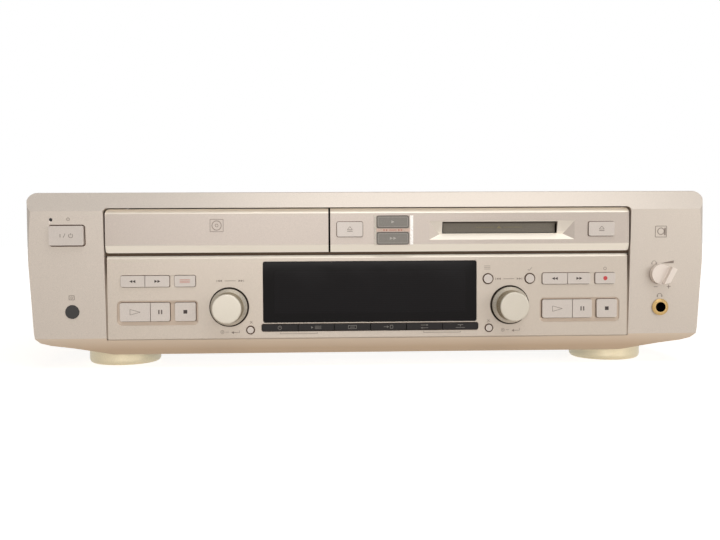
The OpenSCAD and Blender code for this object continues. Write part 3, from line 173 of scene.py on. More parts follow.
def mixed(tree, a, b, factor):
    """A colour between a and b; each is a colour or a socket."""
    mix = tree.nodes.new("ShaderNodeMix")
    mix.data_type = "RGBA"
    for value, name in ((factor, "Factor"), (a, "A"), (b, "B")):
        sockets = [s for s in mix.inputs if s.name == name and s.enabled]
        socket = sockets[0] if name == "Factor" else [s for s in sockets if s.type == "RGBA"][0]
        if isinstance(value, bpy.types.NodeSocket):
            tree.links.new(value, socket)
        else:
            socket.default_value = value
    return [s for s in mix.outputs if s.type == "RGBA"][0]


def grain(tree, place, scale, detail=2.0):
    """Soft grey noise with that many spots to the metre."""
    noise = tree.nodes.new("ShaderNodeTexNoise")
    noise.inputs["Scale"].default_value = scale
    noise.inputs["Detail"].default_value = detail
    tree.links.new(place, noise.inputs["Vector"])
    return noise.outputs["Fac"]


def finish(name, rgb, rough, fleck=900.0, fleck_depth=0.05, cloud=9.0, cloud_depth=0.03, bump=0.02,
           metallic=0.0, coat=0.0, specular=0.3, change=None):
    """A painted, moulded or metal finish: its colour drifts a little over the piece and breaks up
    in fine flecks, which also move the roughness and raise the surface. change(tree, place, colour)
    may return another colour."""
    made = bpy.data.materials.new(name)
    made.use_nodes = True
    tree = made.node_tree
    shader = tree.nodes["Principled BSDF"]
    place = tree.nodes.new("ShaderNodeTexCoord").outputs["Object"]
    light = linear([min(255, c * (1 + fleck_depth)) for c in rgb])
    dark = linear([c * (1 - fleck_depth) for c in rgb])
    small = grain(tree, place, fleck)
    colour = mixed(tree, dark, light, banded(tree, small, 0.35, 0.65))
    large = grain(tree, place, cloud, 1.0)
    shade = linear([c * (1 - cloud_depth * 2) for c in rgb])
    colour = mixed(tree, colour, shade, banded(tree, large, 0.45, 0.75, 0.0, 0.5))
    if change:
        colour = change(tree, place, colour)
    tree.links.new(colour, shader.inputs["Base Color"])
    tree.links.new(banded(tree, small, 0.3, 0.7, rough - 0.04, rough + 0.04), shader.inputs["Roughness"])
    rise = tree.nodes.new("ShaderNodeBump")
    rise.inputs["Strength"].default_value = bump
    rise.inputs["Distance"].default_value = 0.0002
    tree.links.new(small, rise.inputs["Height"])
    tree.links.new(rise.outputs[0], shader.inputs["Normal"])
    shader.inputs["Metallic"].default_value = metallic
    shader.inputs["Specular IOR Level"].default_value = specular
    shader.inputs["Coat Weight"].default_value = coat
    return made


def dress(material, *names):
    """Gives CAD nodes a material in all their slots."""
    for name in names:
        node = nodes[name]
        if not node.data.materials:
            node.data.materials.append(material)
        for slot in node.material_slots:
            slot.material = material


zinc = finish("zinc plate", (168, 170, 172), 0.36, fleck=160, fleck_depth=0.06, bump=0.05, metallic=0.85)
dress(zinc, "bottom_chassis")

# ---------------------------------------------------------------------------
# Feet. Round caps moulded in pale gold plastic, screwed on from below, each
# with a black rubber ring let into its underside.
foot_gold = finish("foot gold", (243, 233, 203), 0.38, fleck=1200, fleck_depth=0.015, cloud_depth=0.0,
                   metallic=0.35, coat=0.1)
dress(foot_gold, "feet")
rubber = finish("black rubber", (32, 31, 30), 0.8, fleck=1200, bump=0.1)


def piece(name, mesh, material, body="case", smooth=False):
    """Puts a finished mesh in the scene with its material, riding on a body."""
    if isinstance(mesh, bmesh.types.BMesh):
        made = bpy.data.meshes.new(name)
        mesh.to_mesh(made)
        mesh.free()
        mesh = made
    mesh.materials.append(material)
    for face in mesh.polygons:
        face.use_smooth = smooth
    made = bpy.data.objects.new(name, mesh)
    bpy.context.scene.collection.objects.link(made)
    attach(made, body)
    return made


def bridge(mesh, a, b):
    """Faces between two closed rows of vertices."""
    for i in range(len(a)):
        j = (i + 1) % len(a)
        mesh.faces.new((a[i], a[j], b[j], b[i]))


def lathe(parts, segments=48):
    """One mesh of turned rings. Each part is (centre, axis, [(radius, height), ...]) in mm, its
    profile closed by itself; axis is the direction that heights go."""
    made = bmesh.new()
    angles = [2 * math.pi * i / segments for i in range(segments)]
    for centre, axis, profile in parts:
        turn = Vector(axis).to_track_quat("Z", "Y").to_matrix()
        rows = []
        for radius, height in profile:
            ring = [Vector((radius * math.cos(a), radius * math.sin(a), height)) for a in angles]
            rows.append([made.verts.new((Vector(centre) + turn @ point) / 1000) for point in ring])
        for a, b in zip(rows, rows[1:] + rows[:1]):
            bridge(made, a, b)
    bmesh.ops.remove_doubles(made, verts=made.verts, dist=1e-7)
    bmesh.ops.recalc_face_normals(made, faces=made.faces)
    return made


def box_mm(name):
    """A node's lowest and highest corners, in mm."""
    return [[c * 1000 for c in corner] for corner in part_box(name)]


foot_r, ring_in, ring_out, ring_t = 23.5, 10.5, 19.5, 0.6
foot_lo, foot_hi = box_mm("feet")
foot_x = foot_hi[0] - foot_r
foot_y = (foot_lo[1] + foot_r, foot_hi[1] - foot_r)
foot_ring = [(ring_in, 0.0), (ring_out, 0.0), (ring_out, ring_t), (ring_in, ring_t)]
piece("foot_rubbers", lathe([((x, y, 0), (0, 0, 1), foot_ring) for x in (-foot_x, foot_x) for y in foot_y]),
      rubber)

# ---------------------------------------------------------------------------
# Power supply and boards. A small laminated transformer at the left, a wide
# main board behind, and key boards behind the front, all green fibreglass.


def plates(tree, place, colour):
    """Thin dark lines between the steel laminations."""
    wave = tree.nodes.new("ShaderNodeTexWave")
    wave.bands_direction = "X"
    wave.inputs["Scale"].default_value = 400.0
    wave.inputs["Distortion"].default_value = 0.4
    tree.links.new(place, wave.inputs["Vector"])
    return mixed(tree, colour, linear((58, 55, 52)), banded(tree, wave.outputs["Fac"], 0.5, 0.9, 0.0, 0.7))


def traces(tree, place, colour):
    """Copper tracks that show paler through the green lacquer, and tinned spots."""
    bricks = tree.nodes.new("ShaderNodeTexBrick")
    bricks.inputs["Scale"].default_value = 160.0
    bricks.inputs["Mortar Size"].default_value = 0.03
    bricks.inputs["Color1"].default_value = linear((44, 96, 60))
    bricks.inputs["Color2"].default_value = linear((52, 108, 66))
    bricks.inputs["Mortar"].default_value = linear((96, 142, 92))
    tree.links.new(place, bricks.inputs["Vector"])
    spots = tree.nodes.new("ShaderNodeTexVoronoi")
    spots.inputs["Scale"].default_value = 260.0
    tree.links.new(place, spots.inputs["Vector"])
    return mixed(tree, linear((188, 190, 186)), bricks.outputs["Color"],
                 banded(tree, spots.outputs["Distance"], 0.16, 0.2))


dress(finish("steel laminations", (104, 98, 92), 0.5, metallic=0.5, change=plates), "power_transformer")
board_green = finish("circuit board", (46, 100, 62), 0.4, coat=0.3, change=traces)
dress(board_green, "main_board", "control_board")
black_steel = finish("blacked screw steel", (44, 43, 43), 0.35, metallic=0.7, bump=0.05)
dress(black_steel, "case_screws")

# ---------------------------------------------------------------------------
# Rear. A steel sheet painted dark, with four phono jacks, two optical sockets
# in black housings and the rubber bush where the mains lead comes out.
dress(finish("rear paint", (62, 62, 64), 0.55, fleck=500, bump=0.12), "rear_panel")
nickel_rgb = (205, 200, 190)
housing_y, phono_side = 0.1333, 0.108        # the housings' face, and the phono jacks' end of it, in metres


def nickel_sleeves(tree, place, colour):
    """The phono jacks' round sleeves, which stand out of the panel, are nickel plated."""
    axes = axes_of(tree, place)
    phono = joined(tree, "MULTIPLY", banded(tree, axes["Y"], housing_y, housing_y + 0.0002),
                   banded(tree, axes["X"], phono_side, phono_side + 0.001, 1.0, 0.0))
    return mixed(tree, colour, linear(nickel_rgb), phono)


dress(finish("jack moulding", (36, 36, 37), 0.42, change=nickel_sleeves), "rear_jacks")
dress(rubber, "power_gland")
nickel = finish("nickel plate", nickel_rgb, 0.25, metallic=0.9, bump=0.01)
# a coloured ring lies on the housing round each sleeve, and a bright lip on the sleeve's end
phono_x, phono_z = (74, 96), {"red": 44, "white": 64}
ring_y, lip_y = 133.2, 142.1
ring_profile = [(4.4, 0), (6.0, 0), (5.7, 0.5), (4.4, 0.5)]
lip_profile = [(1.7, 0), (4.0, 0), (3.7, 0.35), (2.0, 0.35)]
for hue, rgb in (("white", (226, 224, 218)), ("red", (168, 34, 30))):
    piece("jack_rings_" + hue, lathe([((x, ring_y, phono_z[hue]), (0, 1, 0), ring_profile) for x in phono_x]),
          finish(hue + " jack plastic", rgb, 0.4))
sleeve_ends = [(x, lip_y, z) for x in phono_x for z in phono_z.values()]
piece("jack_lips", lathe([(end, (0, 1, 0), lip_profile) for end in sleeve_ends]), nickel)


def thin_block(mesh, x0, x1, z0, z1, y0, y1):
    """A thin upright block, in mm."""
    for v in bmesh.ops.create_cube(mesh, size=1.0)["verts"]:
        v.co = Vector((x0 if v.co.x < 0 else x1, y0 if v.co.y < 0 else y1, z0 if v.co.z < 0 else z1)) / 1000


# the optical sockets' spring shutters, each in a bright frame
rear_y = box_mm("rear_panel")[1][1]
optical_x, optical_z = (128, 152), 54.0
optical_frames = bmesh.new()
for x in optical_x:
    for x0, x1, z0, z1 in ((-5.2, 5.2, 4.5, 5.1), (-5.2, 5.2, -5.1, -4.5),
                           (-5.2, -4.5, -4.5, 4.5), (4.5, 5.2, -4.5, 4.5)):
        thin_block(optical_frames, x + x0, x + x1, optical_z + z0, optical_z + z1, rear_y + 1.1, rear_y + 1.9)
piece("optical_frames", optical_frames, finish("grey moulding", (92, 92, 94), 0.4, fleck=900, bump=0.05))


def print_ink(name, rgb, rough=0.6):
    """Screen-print ink, matt and even."""
    return finish(name, rgb, rough, fleck=3000, bump=0.0)


# a printed line round each group of sockets
rear_marks = bmesh.new()
rear_print = (rear_y - 0.02, rear_y + 0.05)
stroke = 0.4
for x0, x1, z0, z1 in ((66.5, 103.5, 35.5, 72.5), (117.5, 162.5, optical_z - 9, optical_z + 9)):
    for side in ((x0, x1, z1, z1 + stroke), (x0, x1, z0 - stroke, z0), (x0, x0 + stroke, z0, z1),
                 (x1 - stroke, x1, z0, z1)):
        thin_block(rear_marks, *side, *rear_print)
# an arrow into or out of a short wall: what each column of sockets does
for x, z, way in ((phono_x[0], 76.5, 1), (phono_x[1], 76.5, -1),
                  (optical_x[0], optical_z + 12.5, 1), (optical_x[1], optical_z + 12.5, -1)):
    thin_block(rear_marks, x - 2.6, x + 1.2, z - 0.2, z + 0.2, *rear_print)
    thin_block(rear_marks, x + 2.2, x + 2.6, z - 1.6, z + 1.6, *rear_print)
    tip, tail = (x + 1.6, x + 0.2) if way > 0 else (x - 3.2, x - 1.8)
    front, back = ([rear_marks.verts.new((u / 1000, y / 1000, w / 1000))
                    for u, w in ((tip, z), (tail, z + 1.1), (tail, z - 1.1))] for y in rear_print)
    rear_marks.faces.new(front)
    rear_marks.faces.new(back[::-1])
    bridge(rear_marks, back, front)
bmesh.ops.recalc_face_normals(rear_marks, faces=rear_marks.faces)
piece("rear_marks", rear_marks, print_ink("rear print", (196, 196, 192)))

# ---------------------------------------------------------------------------
# Disc mechanisms. Black moulded frames, the tray with its round well, a white nylon gear, and a pressed steel
# cartridge holder.
black_moulding = finish("black moulding", (36, 36, 37), 0.5, fleck=800, bump=0.08)
dress(black_moulding, "cd_frame", "cd_sled", "cd_clamper", "cd_turntable", "md_turntable", "md_sled")
dress(finish("nylon", (228, 224, 214), 0.45, bump=0.02), "cd_loading_gear")
tray_moulding = finish("tray moulding", (40, 39, 40), 0.38, fleck=1400, fleck_depth=0.08, bump=0.06, coat=0.1)
dress(tray_moulding, "cd_tray")
dress(zinc, "md_frame", "md_holder")
brushed = finish("turned steel", (176, 176, 174), 0.3, metallic=0.9, bump=0.03)
dress(brushed, "cd_dial_shaft", "md_dial_shaft")

# ---------------------------------------------------------------------------
# Case. The cover is sheet steel, the front a plastic moulding; both carry the
# same champagne paint, a warm silver with a fine metal fleck in it.
panel_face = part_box("control_panel")[0][1]        # y of the control panel's face, in metres
sunk_field_top = 0.047


def champagne(name, rgb, change):
    """The front's paint. Each moulding takes it a little differently."""
    return finish(name, rgb, 0.36, fleck=2200, fleck_depth=0.025, cloud=5, cloud_depth=0.012, bump=0.015,
                  metallic=0.3, coat=0.08, change=change)


def slope_highlight_and_hole_shade(tree, place, colour):
    """Painted highlight on the narrow slopes along the panels' edges, coloured paler as if catching the
    light, and painted shade in the sunk field and inside the holes.
    """
    tilt = axes_of(tree, tree.nodes.new("ShaderNodeTexCoord").outputs["Normal"])["Z"]
    slope = joined(tree, "MULTIPLY", banded(tree, joined(tree, "ABSOLUTE", tilt), 0.28, 0.35),
                   banded(tree, tilt, 0.9, 0.95, 1.0, 0.0))
    slope = joined(tree, "MULTIPLY", slope, banded(tree, tilt, -0.63, -0.55))
    colour = mixed(tree, colour, linear((246, 239, 227)), slope)
    # painted shade: the sunk field round the play keys is coloured browner
    axes = axes_of(tree, place)
    sunk_field_shade = joined(tree, "MULTIPLY", banded(tree, axes["Y"], panel_face + 0.0002, panel_face + 0.0006),
                   banded(tree, axes["Z"], sunk_field_top + 0.001, sunk_field_top))
    colour = mixed(tree, colour, linear((189, 172, 156)), sunk_field_shade)
    # painted shade: just inside the holes the colour turns dark brown, so the key gaps look dark
    return mixed(tree, colour, linear((66, 54, 44)),
                 banded(tree, axes["Y"], panel_face + 0.0013, panel_face + 0.0016))


def chin_painted_shade(tree, place, colour):
    """Painted shade: faces that look downward, under the chin, are coloured browner, darker towards the foot.
    """
    tilt = axes_of(tree, tree.nodes.new("ShaderNodeTexCoord").outputs["Normal"])["Z"]
    chin_shade_colour = mixed(tree, linear((203, 181, 156)), linear((226, 210, 192)),
                 banded(tree, axes_of(tree, place)["Z"], 0.012, 0.0195))
    return mixed(tree, colour, chin_shade_colour, banded(tree, tilt, -0.3, -0.55))


def soften(name, width, segments=2, angle=35.0):
    """Breaks the sharp edges of a CAD node, in mm."""
    node = nodes[name]
    weld = node.modifiers.new("join faces", "WELD")
    weld.merge_threshold = 0.000004
    bevel = node.modifiers.new("broken edges", "BEVEL")
    bevel.width = width / 1000
    bevel.segments = segments
    bevel.limit_method = "ANGLE"
    bevel.angle_limit = math.radians(angle)
    bevel.use_clamp_overlap = True
    bevel.harden_normals = False
    even = node.modifiers.new("even shading", "WEIGHTED_NORMAL")
    even.keep_sharp = False
    even.weight = 60


cover_paint = finish("champagne cover paint", (200, 188, 171), 0.5, fleck=1500, fleck_depth=0.04, bump=0.08,
                     metallic=0.1)
dress(cover_paint, "top_cover")
# the front panel's chin carries painted shade
dress(champagne("champagne front paint", (208, 198, 188), chin_painted_shade), "front_panel")
# painted highlight on the slopes, painted shade in the sunk field and the holes
dress(champagne("champagne panel paint", (201, 190, 178), slope_highlight_and_hole_shade), "control_panel")
dress(champagne("champagne upper paint", (193, 182, 173), slope_highlight_and_hole_shade), "md_panel", "cd_tray_front")
for name, width in (("front_panel", 0.35), ("control_panel", 0.3), ("md_panel", 0.25),
                    ("cd_tray_front", 0.3)):
    soften(name, width, angle=9.0)        # so small an angle keeps the slopes' shading apart

# ---------------------------------------------------------------------------
# Keys. Thin caps in the panel's paint, a shade paler, with softened rims.
# The ones by the slot and under the display are dark grey.
key_paint = finish("key paint", (222, 213, 206), 0.36, fleck=2200, fleck_depth=0.02, bump=0.015,
                   metallic=0.1, coat=0.1)
dark_key_paint = finish("dark key paint", (142, 138, 132), 0.4, fleck=2000, fleck_depth=0.04, coat=0.1)
strip_paint = finish("strip key paint", (34, 31, 31), 0.42, fleck=2000, fleck_depth=0.04, specular=0.2)
light_keys = ["power_key", "cd_reverse_key", "cd_forward_key", "cd_mode_key", "cd_play_key", "cd_pause_key",
              "cd_stop_key", "cd_clear_key", "md_menu_key", "md_yes_key", "md_reverse_key", "md_forward_key",
              "md_record_key", "md_play_key", "md_pause_key", "md_stop_key", "md_clear_key",
              "open_close_key", "eject_key"]
strip_keys = ["strip_key_%d" % i for i in range(1, 7)]
dress(key_paint, *light_keys)
dress(dark_key_paint, "sync_upper_key", "sync_lower_key")
dress(strip_paint, *strip_keys)
for name in light_keys + ["sync_upper_key", "sync_lower_key"]:
    soften(name, 0.35, 3)
for name in strip_keys:
    soften(name, 0.15, 2)

# ---------------------------------------------------------------------------
# Gaps round the keys. Thin dark strips of painted shade line them, brown round the pale keys and black round
# the dark ones; each round key stands in a ring of the same brown painted shade.


def outline(x0, x1, z0, z1, r, steps=5):
    """The outline of a rounded rectangle, anticlockwise."""
    out = []
    for x, z, start in ((x1 - r, z1 - r, 0), (x0 + r, z1 - r, 90), (x0 + r, z0 + r, 180),
                        (x1 - r, z0 + r, 270)):
        for i in range(steps + 1):
            a = math.radians(start + 90 * i / steps)
            out.append((x + r * math.cos(a), z + r * math.sin(a)))
    return out


def gap_shade_liners(name, holes, material):
    """Dark strips just inside holes, painted shade in the key gaps. Each hole is (x0, x1, z0, z1, radius,
    gap, y).
    """
    made = bmesh.new()
    for x0, x1, z0, z1, r, gap, y in holes:
        outer, inner = (outline(x0 - g, x1 + g, z0 - g, z1 + g, r + g) for g in (gap - 0.02, 0.03))
        rings = [[made.verts.new((x / 1000, (y + deep) / 1000, z / 1000)) for x, z in loop]
                 for loop, deep in ((outer, 0.0), (inner, 0.0), (inner, 0.4), (outer, 0.4))]
        for a, b in zip(rings, rings[1:] + rings[:1]):
            bridge(made, a, b)
    bmesh.ops.recalc_face_normals(made, faces=made.faces)
    return piece(name, made, material)


key_gap, key_corner, flange = 0.35, 1.1, 1.0


def key_hole(names, y, gap=key_gap):
    """The hole that some keys share; their flanges hide behind its top and bottom edges."""
    low = [min(box_mm(name)[0][k] for name in names) for k in range(3)]
    high = [max(box_mm(name)[1][k] for name in names) for k in range(3)]
    return low[0], high[0], low[2] + flange, high[2] - flange, key_corner, gap, y


# painted shade for the key gaps, brown and black
gap_shade = finish("brown felt", (92, 68, 52), 0.9, fleck=2500, fleck_depth=0.1, bump=0.1)
dark_gap_shade = finish("black felt", (48, 36, 31), 0.9, fleck=2500, fleck_depth=0.1, bump=0.1)
panel_y, upper_y, power_y = box_mm("control_panel")[0][1], box_mm("md_panel")[0][1], -129.0
lined = []
for names in (("cd_reverse_key", "cd_forward_key"), ("cd_mode_key",), ("cd_play_key", "cd_pause_key"),
              ("cd_stop_key",), ("md_reverse_key", "md_forward_key"), ("md_record_key",),
              ("md_play_key", "md_pause_key"), ("md_stop_key",), strip_keys):
    in_sunk_field = "play" in names[0] or "stop" in names[0]
    lined.append(key_hole(names, panel_y + (0.75 if in_sunk_field else 0.3)))
lined += [key_hole((name,), upper_y + 0.3) for name in ("open_close_key", "eject_key")]
lined.append(key_hole(("power_key",), power_y, 0.7))
gap_shade_liners("key_gap_shade", lined, gap_shade)
gap_shade_liners("dark_key_gap_shade", [key_hole((name,), upper_y + 0.08) for name in
                                   ("sync_upper_key", "sync_lower_key")], dark_gap_shade)
# painted shade: a brown ring fills the gap round each round key
rims = []
for name in ("cd_clear_key", "md_clear_key", "md_menu_key", "md_yes_key"):
    low, high = box_mm(name)
    r = (high[0] - low[0]) / 2 - 1.2        # a round key's flange is 1.2 mm wide
    profile = [(r + 0.05, -0.25), (r + 0.26, -0.25), (r + 0.62, 0.06), (r + 0.62, 0.14), (r + 0.05, -0.1)]
    rims.append((((low[0] + high[0]) / 2, panel_y, (low[2] + high[2]) / 2), (0, -1, 0), profile))
piece("round_key_shade_rims", lathe(rims, 40), gap_shade)

# ---------------------------------------------------------------------------
# Seams round the control panel. A brown strip closes the line above it, and one stands in the gap at each
# side, glued to the front panel's opening; all three are painted shade in the seams.


def seam_shade(tree, place, colour):
    """Painted shade: the strips at the sides are dark at the top and pale towards the panel's foot, where the
    seams' shade fades.
    """
    return mixed(tree, colour, linear((188, 174, 160)), banded(tree, axes_of(tree, place)["Z"], 0.066, 0.05))


panel_lo, panel_hi = box_mm("control_panel")
upper_foot = box_mm("md_panel")[0][2]
opening_x = panel_hi[0] - 2.5        # the panel is 2.5 mm wider than the opening, behind its edge
strip_w, strip_t = 1.18, 0.5
foot_z, top_z = panel_lo[2] + 0.5, panel_hi[2] - 1
seams = bmesh.new()
for x0, x1, z0, z1, deep in (
        (-opening_x + 0.05, opening_x - 0.05, panel_hi[2] - 0.3, upper_foot + 0.3, 1.3),
        (-opening_x + 0.02, -opening_x + strip_w, foot_z, top_z, 1.1),
        (opening_x - strip_w, opening_x - 0.02, foot_z, top_z, 1.1)):
    thin_block(seams, x0, x1, z0, z1, panel_y + deep, panel_y + deep + strip_t)
# the seam strips are painted shade
piece("seam_shade_strips", seams, finish("seam painted shade", (92, 76, 62), 0.8, fleck=2500, bump=0.05, change=seam_shade))

# ---------------------------------------------------------------------------
# Marks on the keys. Arrows, bars, squares and a red dot, screen-printed in
# matt ink on the keys' faces, as on any deck.


def printed(name, shapes, face, material, body="case", thick=0.04):
    """Ink or a thin plate on a front surface. shapes are closed outlines of (x, z) in mm, and
    face(z) is the surface's y there."""
    made = bmesh.new()
    for shape in shapes:
        area = sum(a[0] * b[1] - b[0] * a[1] for a, b in zip(shape, shape[1:] + shape[:1]))
        ring = shape if area > 0 else shape[::-1]
        front = [made.verts.new((x / 1000, (face(z) - thick) / 1000, z / 1000)) for x, z in ring]
        back = [made.verts.new((x / 1000, (face(z) + 0.02) / 1000, z / 1000)) for x, z in ring]
        made.faces.new(front)
        made.faces.new(back[::-1])
        bridge(made, back, front)
    bmesh.ops.recalc_face_normals(made, faces=made.faces)
    return piece(name, made, material, body)


def line(x0, z0, x1, z1, width):
    """A stroke as one outline."""
    along = Vector((x1 - x0, z1 - z0)).normalized()
    off = Vector((-along.y, along.x)) * (width / 2)
    return [(x0 + off.x, z0 + off.y), (x0 - off.x, z0 - off.y),
            (x1 - off.x, z1 - off.y), (x1 + off.x, z1 + off.y)]


def round_spot(x, z, r, steps=24):
    """A filled circle."""
    return [(x + r * math.cos(2 * math.pi * i / steps), z + r * math.sin(2 * math.pi * i / steps))
            for i in range(steps)]


def middle(name):
    """The middle of a key's cap in x and z, and its face's y, in mm."""
    low, high = box_mm(name)
    return (low[0] + high[0]) / 2, (low[2] + high[2]) / 2, low[1]


def flat(y):
    """An upright face at that depth."""
    return lambda z: y


ink = print_ink("dark print", (74, 66, 64))
mid_ink = print_ink("mid print", (118, 108, 104))
pale_ink = print_ink("grey print", (150, 138, 130))
for deck in ("cd", "md"):
    for name, way in ((deck + "_reverse_key", -1), (deck + "_forward_key", 1)):
        x, z, y = middle(name)
        arrows = [[(x + way * (s - 1.9), z + 0.95), (x + way * (s - 1.9), z - 0.95), (x + way * s, z)]
                  for s in (0.1, 2.0)]
        printed(name + "_arrows", arrows, flat(y), ink, name)
    x, z, y = middle(deck + "_play_key")
    corners = [(x - 3.1, z + 1.75), (x - 3.1, z - 1.75), (x + 3.3, z)]
    printed(deck + "_play_mark", [line(*corners[i], *corners[(i + 1) % 3], 0.3) for i in range(3)], flat(y),
            pale_ink, deck + "_play_key")
    x, z, y = middle(deck + "_pause_key")
    printed(deck + "_pause_mark", [line(x + s, z - 1.35, x + s, z + 1.35, 0.85) for s in (-0.85, 0.85)],
            flat(y), mid_ink, deck + "_pause_key")
    x, z, y = middle(deck + "_stop_key")
    printed(deck + "_stop_mark", [line(x - 1.2, z, x + 1.2, z, 2.3)], flat(y), ink, deck + "_stop_key")
x, z, y = middle("md_record_key")
printed("record_spot", [round_spot(x, z, 1.35)], flat(y), print_ink("red print", (214, 84, 86), 0.55),
        "md_record_key")
x, z, y = middle("cd_mode_key")
printed("mode_mark", [line(x - 3.2, z + s, x + 3.2, z + s, width) for s, width in
                      ((0, 0.5), (0.9, 0.35), (-0.9, 0.35))],
        flat(y), print_ink("pink print", (216, 160, 148), 0.55), "cd_mode_key")
for name in ("open_close_key", "eject_key"):
    x, z, y = middle(name)
    corners = [(x - 1.6, z - 0.2), (x + 1.6, z - 0.2), (x, z + 1.7)]
    printed(name + "_mark", [line(x - 1.7, z - 1.2, x + 1.7, z - 1.2, 0.45)] + [
        line(*corners[i], *corners[(i + 1) % 3], 0.3) for i in range(3)], flat(y), pale_ink, name)

# ---------------------------------------------------------------------------
# Small signs printed on the control panel beside the dials and keys: skip marks
# over each dial, a push-to-enter mark under it, and one sign for each small key.
panel = flat(panel_y)


def arc_line(x, z, r, start, end, width, steps=24):
    """A curved stroke as short outlines; angles in degrees, anticlockwise from the right."""
    out = []
    for i in range(steps):
        a, b = (math.radians(start + (end - start) * k / steps) for k in (i, i + 1))
        out.append([(x + (r + s) * math.cos(t), z + (r + s) * math.sin(t))
                    for s, t in ((-width / 2, a), (width / 2, a), (width / 2, b), (-width / 2, b))])
    return out


def skip_marks(x0, x1, z, size=0.75):
    """A back and a forward skip sign at both ends of a thin line."""
    out = [line((x0 + x1) / 2 - 3.4, z, (x0 + x1) / 2 + 3.4, z, 0.35)]
    for x, way in ((x0, 1), (x1, -1)):
        out.append(line(x, z - size, x, z + size, 0.3))
        for s in (0.4, 1.9):
            out.append([(x + way * s, z), (x + way * (s + 1.4), z + size), (x + way * (s + 1.4), z - size)])
    return out


def enter_mark(x, z):
    """A finger's press on a ring, and a bent arrow."""
    return arc_line(x - 4.6, z, 1.0, 0, 360, 0.3) + [
        round_spot(x - 4.6, z, 0.35, 12), line(x - 2.6, z, x - 0.6, z, 0.3),
        line(x + 2.0, z - 0.4, x + 6.2, z - 0.4, 0.3), line(x + 6.2, z - 0.4, x + 6.2, z + 1.0, 0.3),
        [(x + 1.0, z - 0.4), (x + 2.6, z + 0.5), (x + 2.6, z - 1.3)]]


signs = skip_marks(-97.2, -80.2, 56.2) + skip_marks(80.4, 97.4, 56.3)
signs += enter_mark(-89.4, 23.7) + enter_mark(89.7, 23.5)
for x, z in ((-75.7, 29.8), (75.8, 29.5)):        # clear: a small cross
    signs += [line(x - 0.8, z - 0.8, x + 0.8, z + 0.8, 0.3), line(x - 0.8, z + 0.8, x + 0.8, z - 0.8, 0.3)]
signs += [line(73.0, z, 77.0, z, 0.3) for z in (62.6, 63.6, 64.6)]        # menu: three lines
signs += [line(101.2, 62.3, 102.1, 61.5, 0.35), line(102.1, 61.5, 103.9, 63.5, 0.35)]        # yes: a tick
signs += arc_line(151.3, 62.5, 0.9, 0, 360, 0.35)        # record: a ring
for x in (-45.6, 45.9):        # two brackets that group the keys above them
    signs += [line(x - 11.8, 22.3, x + 11.8, 22.3, 0.3), line(x - 11.8, 22.2, x - 11.8, 23.1, 0.3),
              line(x + 11.8, 22.2, x + 11.8, 23.1, 0.3)]
printed("panel_signs", signs, panel, pale_ink)


def box_lines(x, z, half_w, half_h, width):
    """The four sides of an upright box."""
    return [line(x - half_w, z + s, x + half_w, z + s, width) for s in (-half_h, half_h)] + [
        line(x + s, z - half_h, x + s, z + half_h, width) for s in (-half_w, half_w)]


def strip_sign(kind, x, z):
    """One plain sign for each dark key: time, mode, display, input, repeat and title."""
    if kind == 0:
        return arc_line(x, z, 1.15, 0, 360, 0.28) + [line(x, z, x, z + 0.8, 0.25),
                                                     line(x, z, x + 0.6, z, 0.25)]
    if kind == 1:
        return [[(x - 3.2, z + 0.8), (x - 3.2, z - 0.8), (x - 1.8, z)]] + [
            line(x - 0.8, z + s, x + 3.2, z + s, 0.28) for s in (-0.8, 0.0, 0.8)]
    if kind == 2:
        return box_lines(x, z, 2.6, 1.0, 0.28) + [line(x - 1.5, z, x + 1.5, z, 0.4)]
    if kind == 3:
        return [line(x - 3.0, z, x - 0.6, z, 0.3), [(x - 1.0, z + 0.8), (x - 1.0, z - 0.8), (x + 0.3, z)],
                line(x + 1.1, z - 1.0, x + 1.1, z + 1.0, 0.3), line(x + 1.1, z - 1.0, x + 2.8, z - 1.0, 0.3),
                line(x + 1.1, z + 1.0, x + 2.8, z + 1.0, 0.3), line(x + 2.8, z - 1.0, x + 2.8, z + 1.0, 0.3)]
    if kind == 4:
        return [line(x - 2.4, z + 0.9, x + 1.6, z + 0.9, 0.28),
                [(x + 1.3, z + 1.5), (x + 1.3, z + 0.3), (x + 2.5, z + 0.9)],
                line(x - 1.6, z - 0.9, x + 2.4, z - 0.9, 0.28),
                [(x - 1.3, z - 0.3), (x - 1.3, z - 1.5), (x - 2.5, z - 0.9)]]
    return [line(x - 3.0, z - 0.9, x + 3.0, z - 0.9, 0.28), line(x - 1.8, z + 0.9, x + 1.8, z + 0.9, 0.28),
            line(x, z - 0.2, x, z + 0.9, 0.4)]


strip_ink = print_ink("strip print", (132, 128, 124))
for i, name in enumerate(strip_keys):
    x, z, y = middle(name)
    printed(name + "_sign", strip_sign(i, x, z), flat(y), strip_ink, name)

# ---------------------------------------------------------------------------
# Plate round the two dark keys. A thin pale trim with a bright outer edge,
# glued on the cartridge panel; arrows on the keys tell slow from fast.
kx, kz, ky = middle("sync_upper_key")
lx, lz, ly = middle("sync_lower_key")
plate_y = flat(upper_y)


def block(x0, x1, z0, z1):
    """An upright rectangle."""
    return [(x0, z0), (x1, z0), (x1, z1), (x0, z1)]


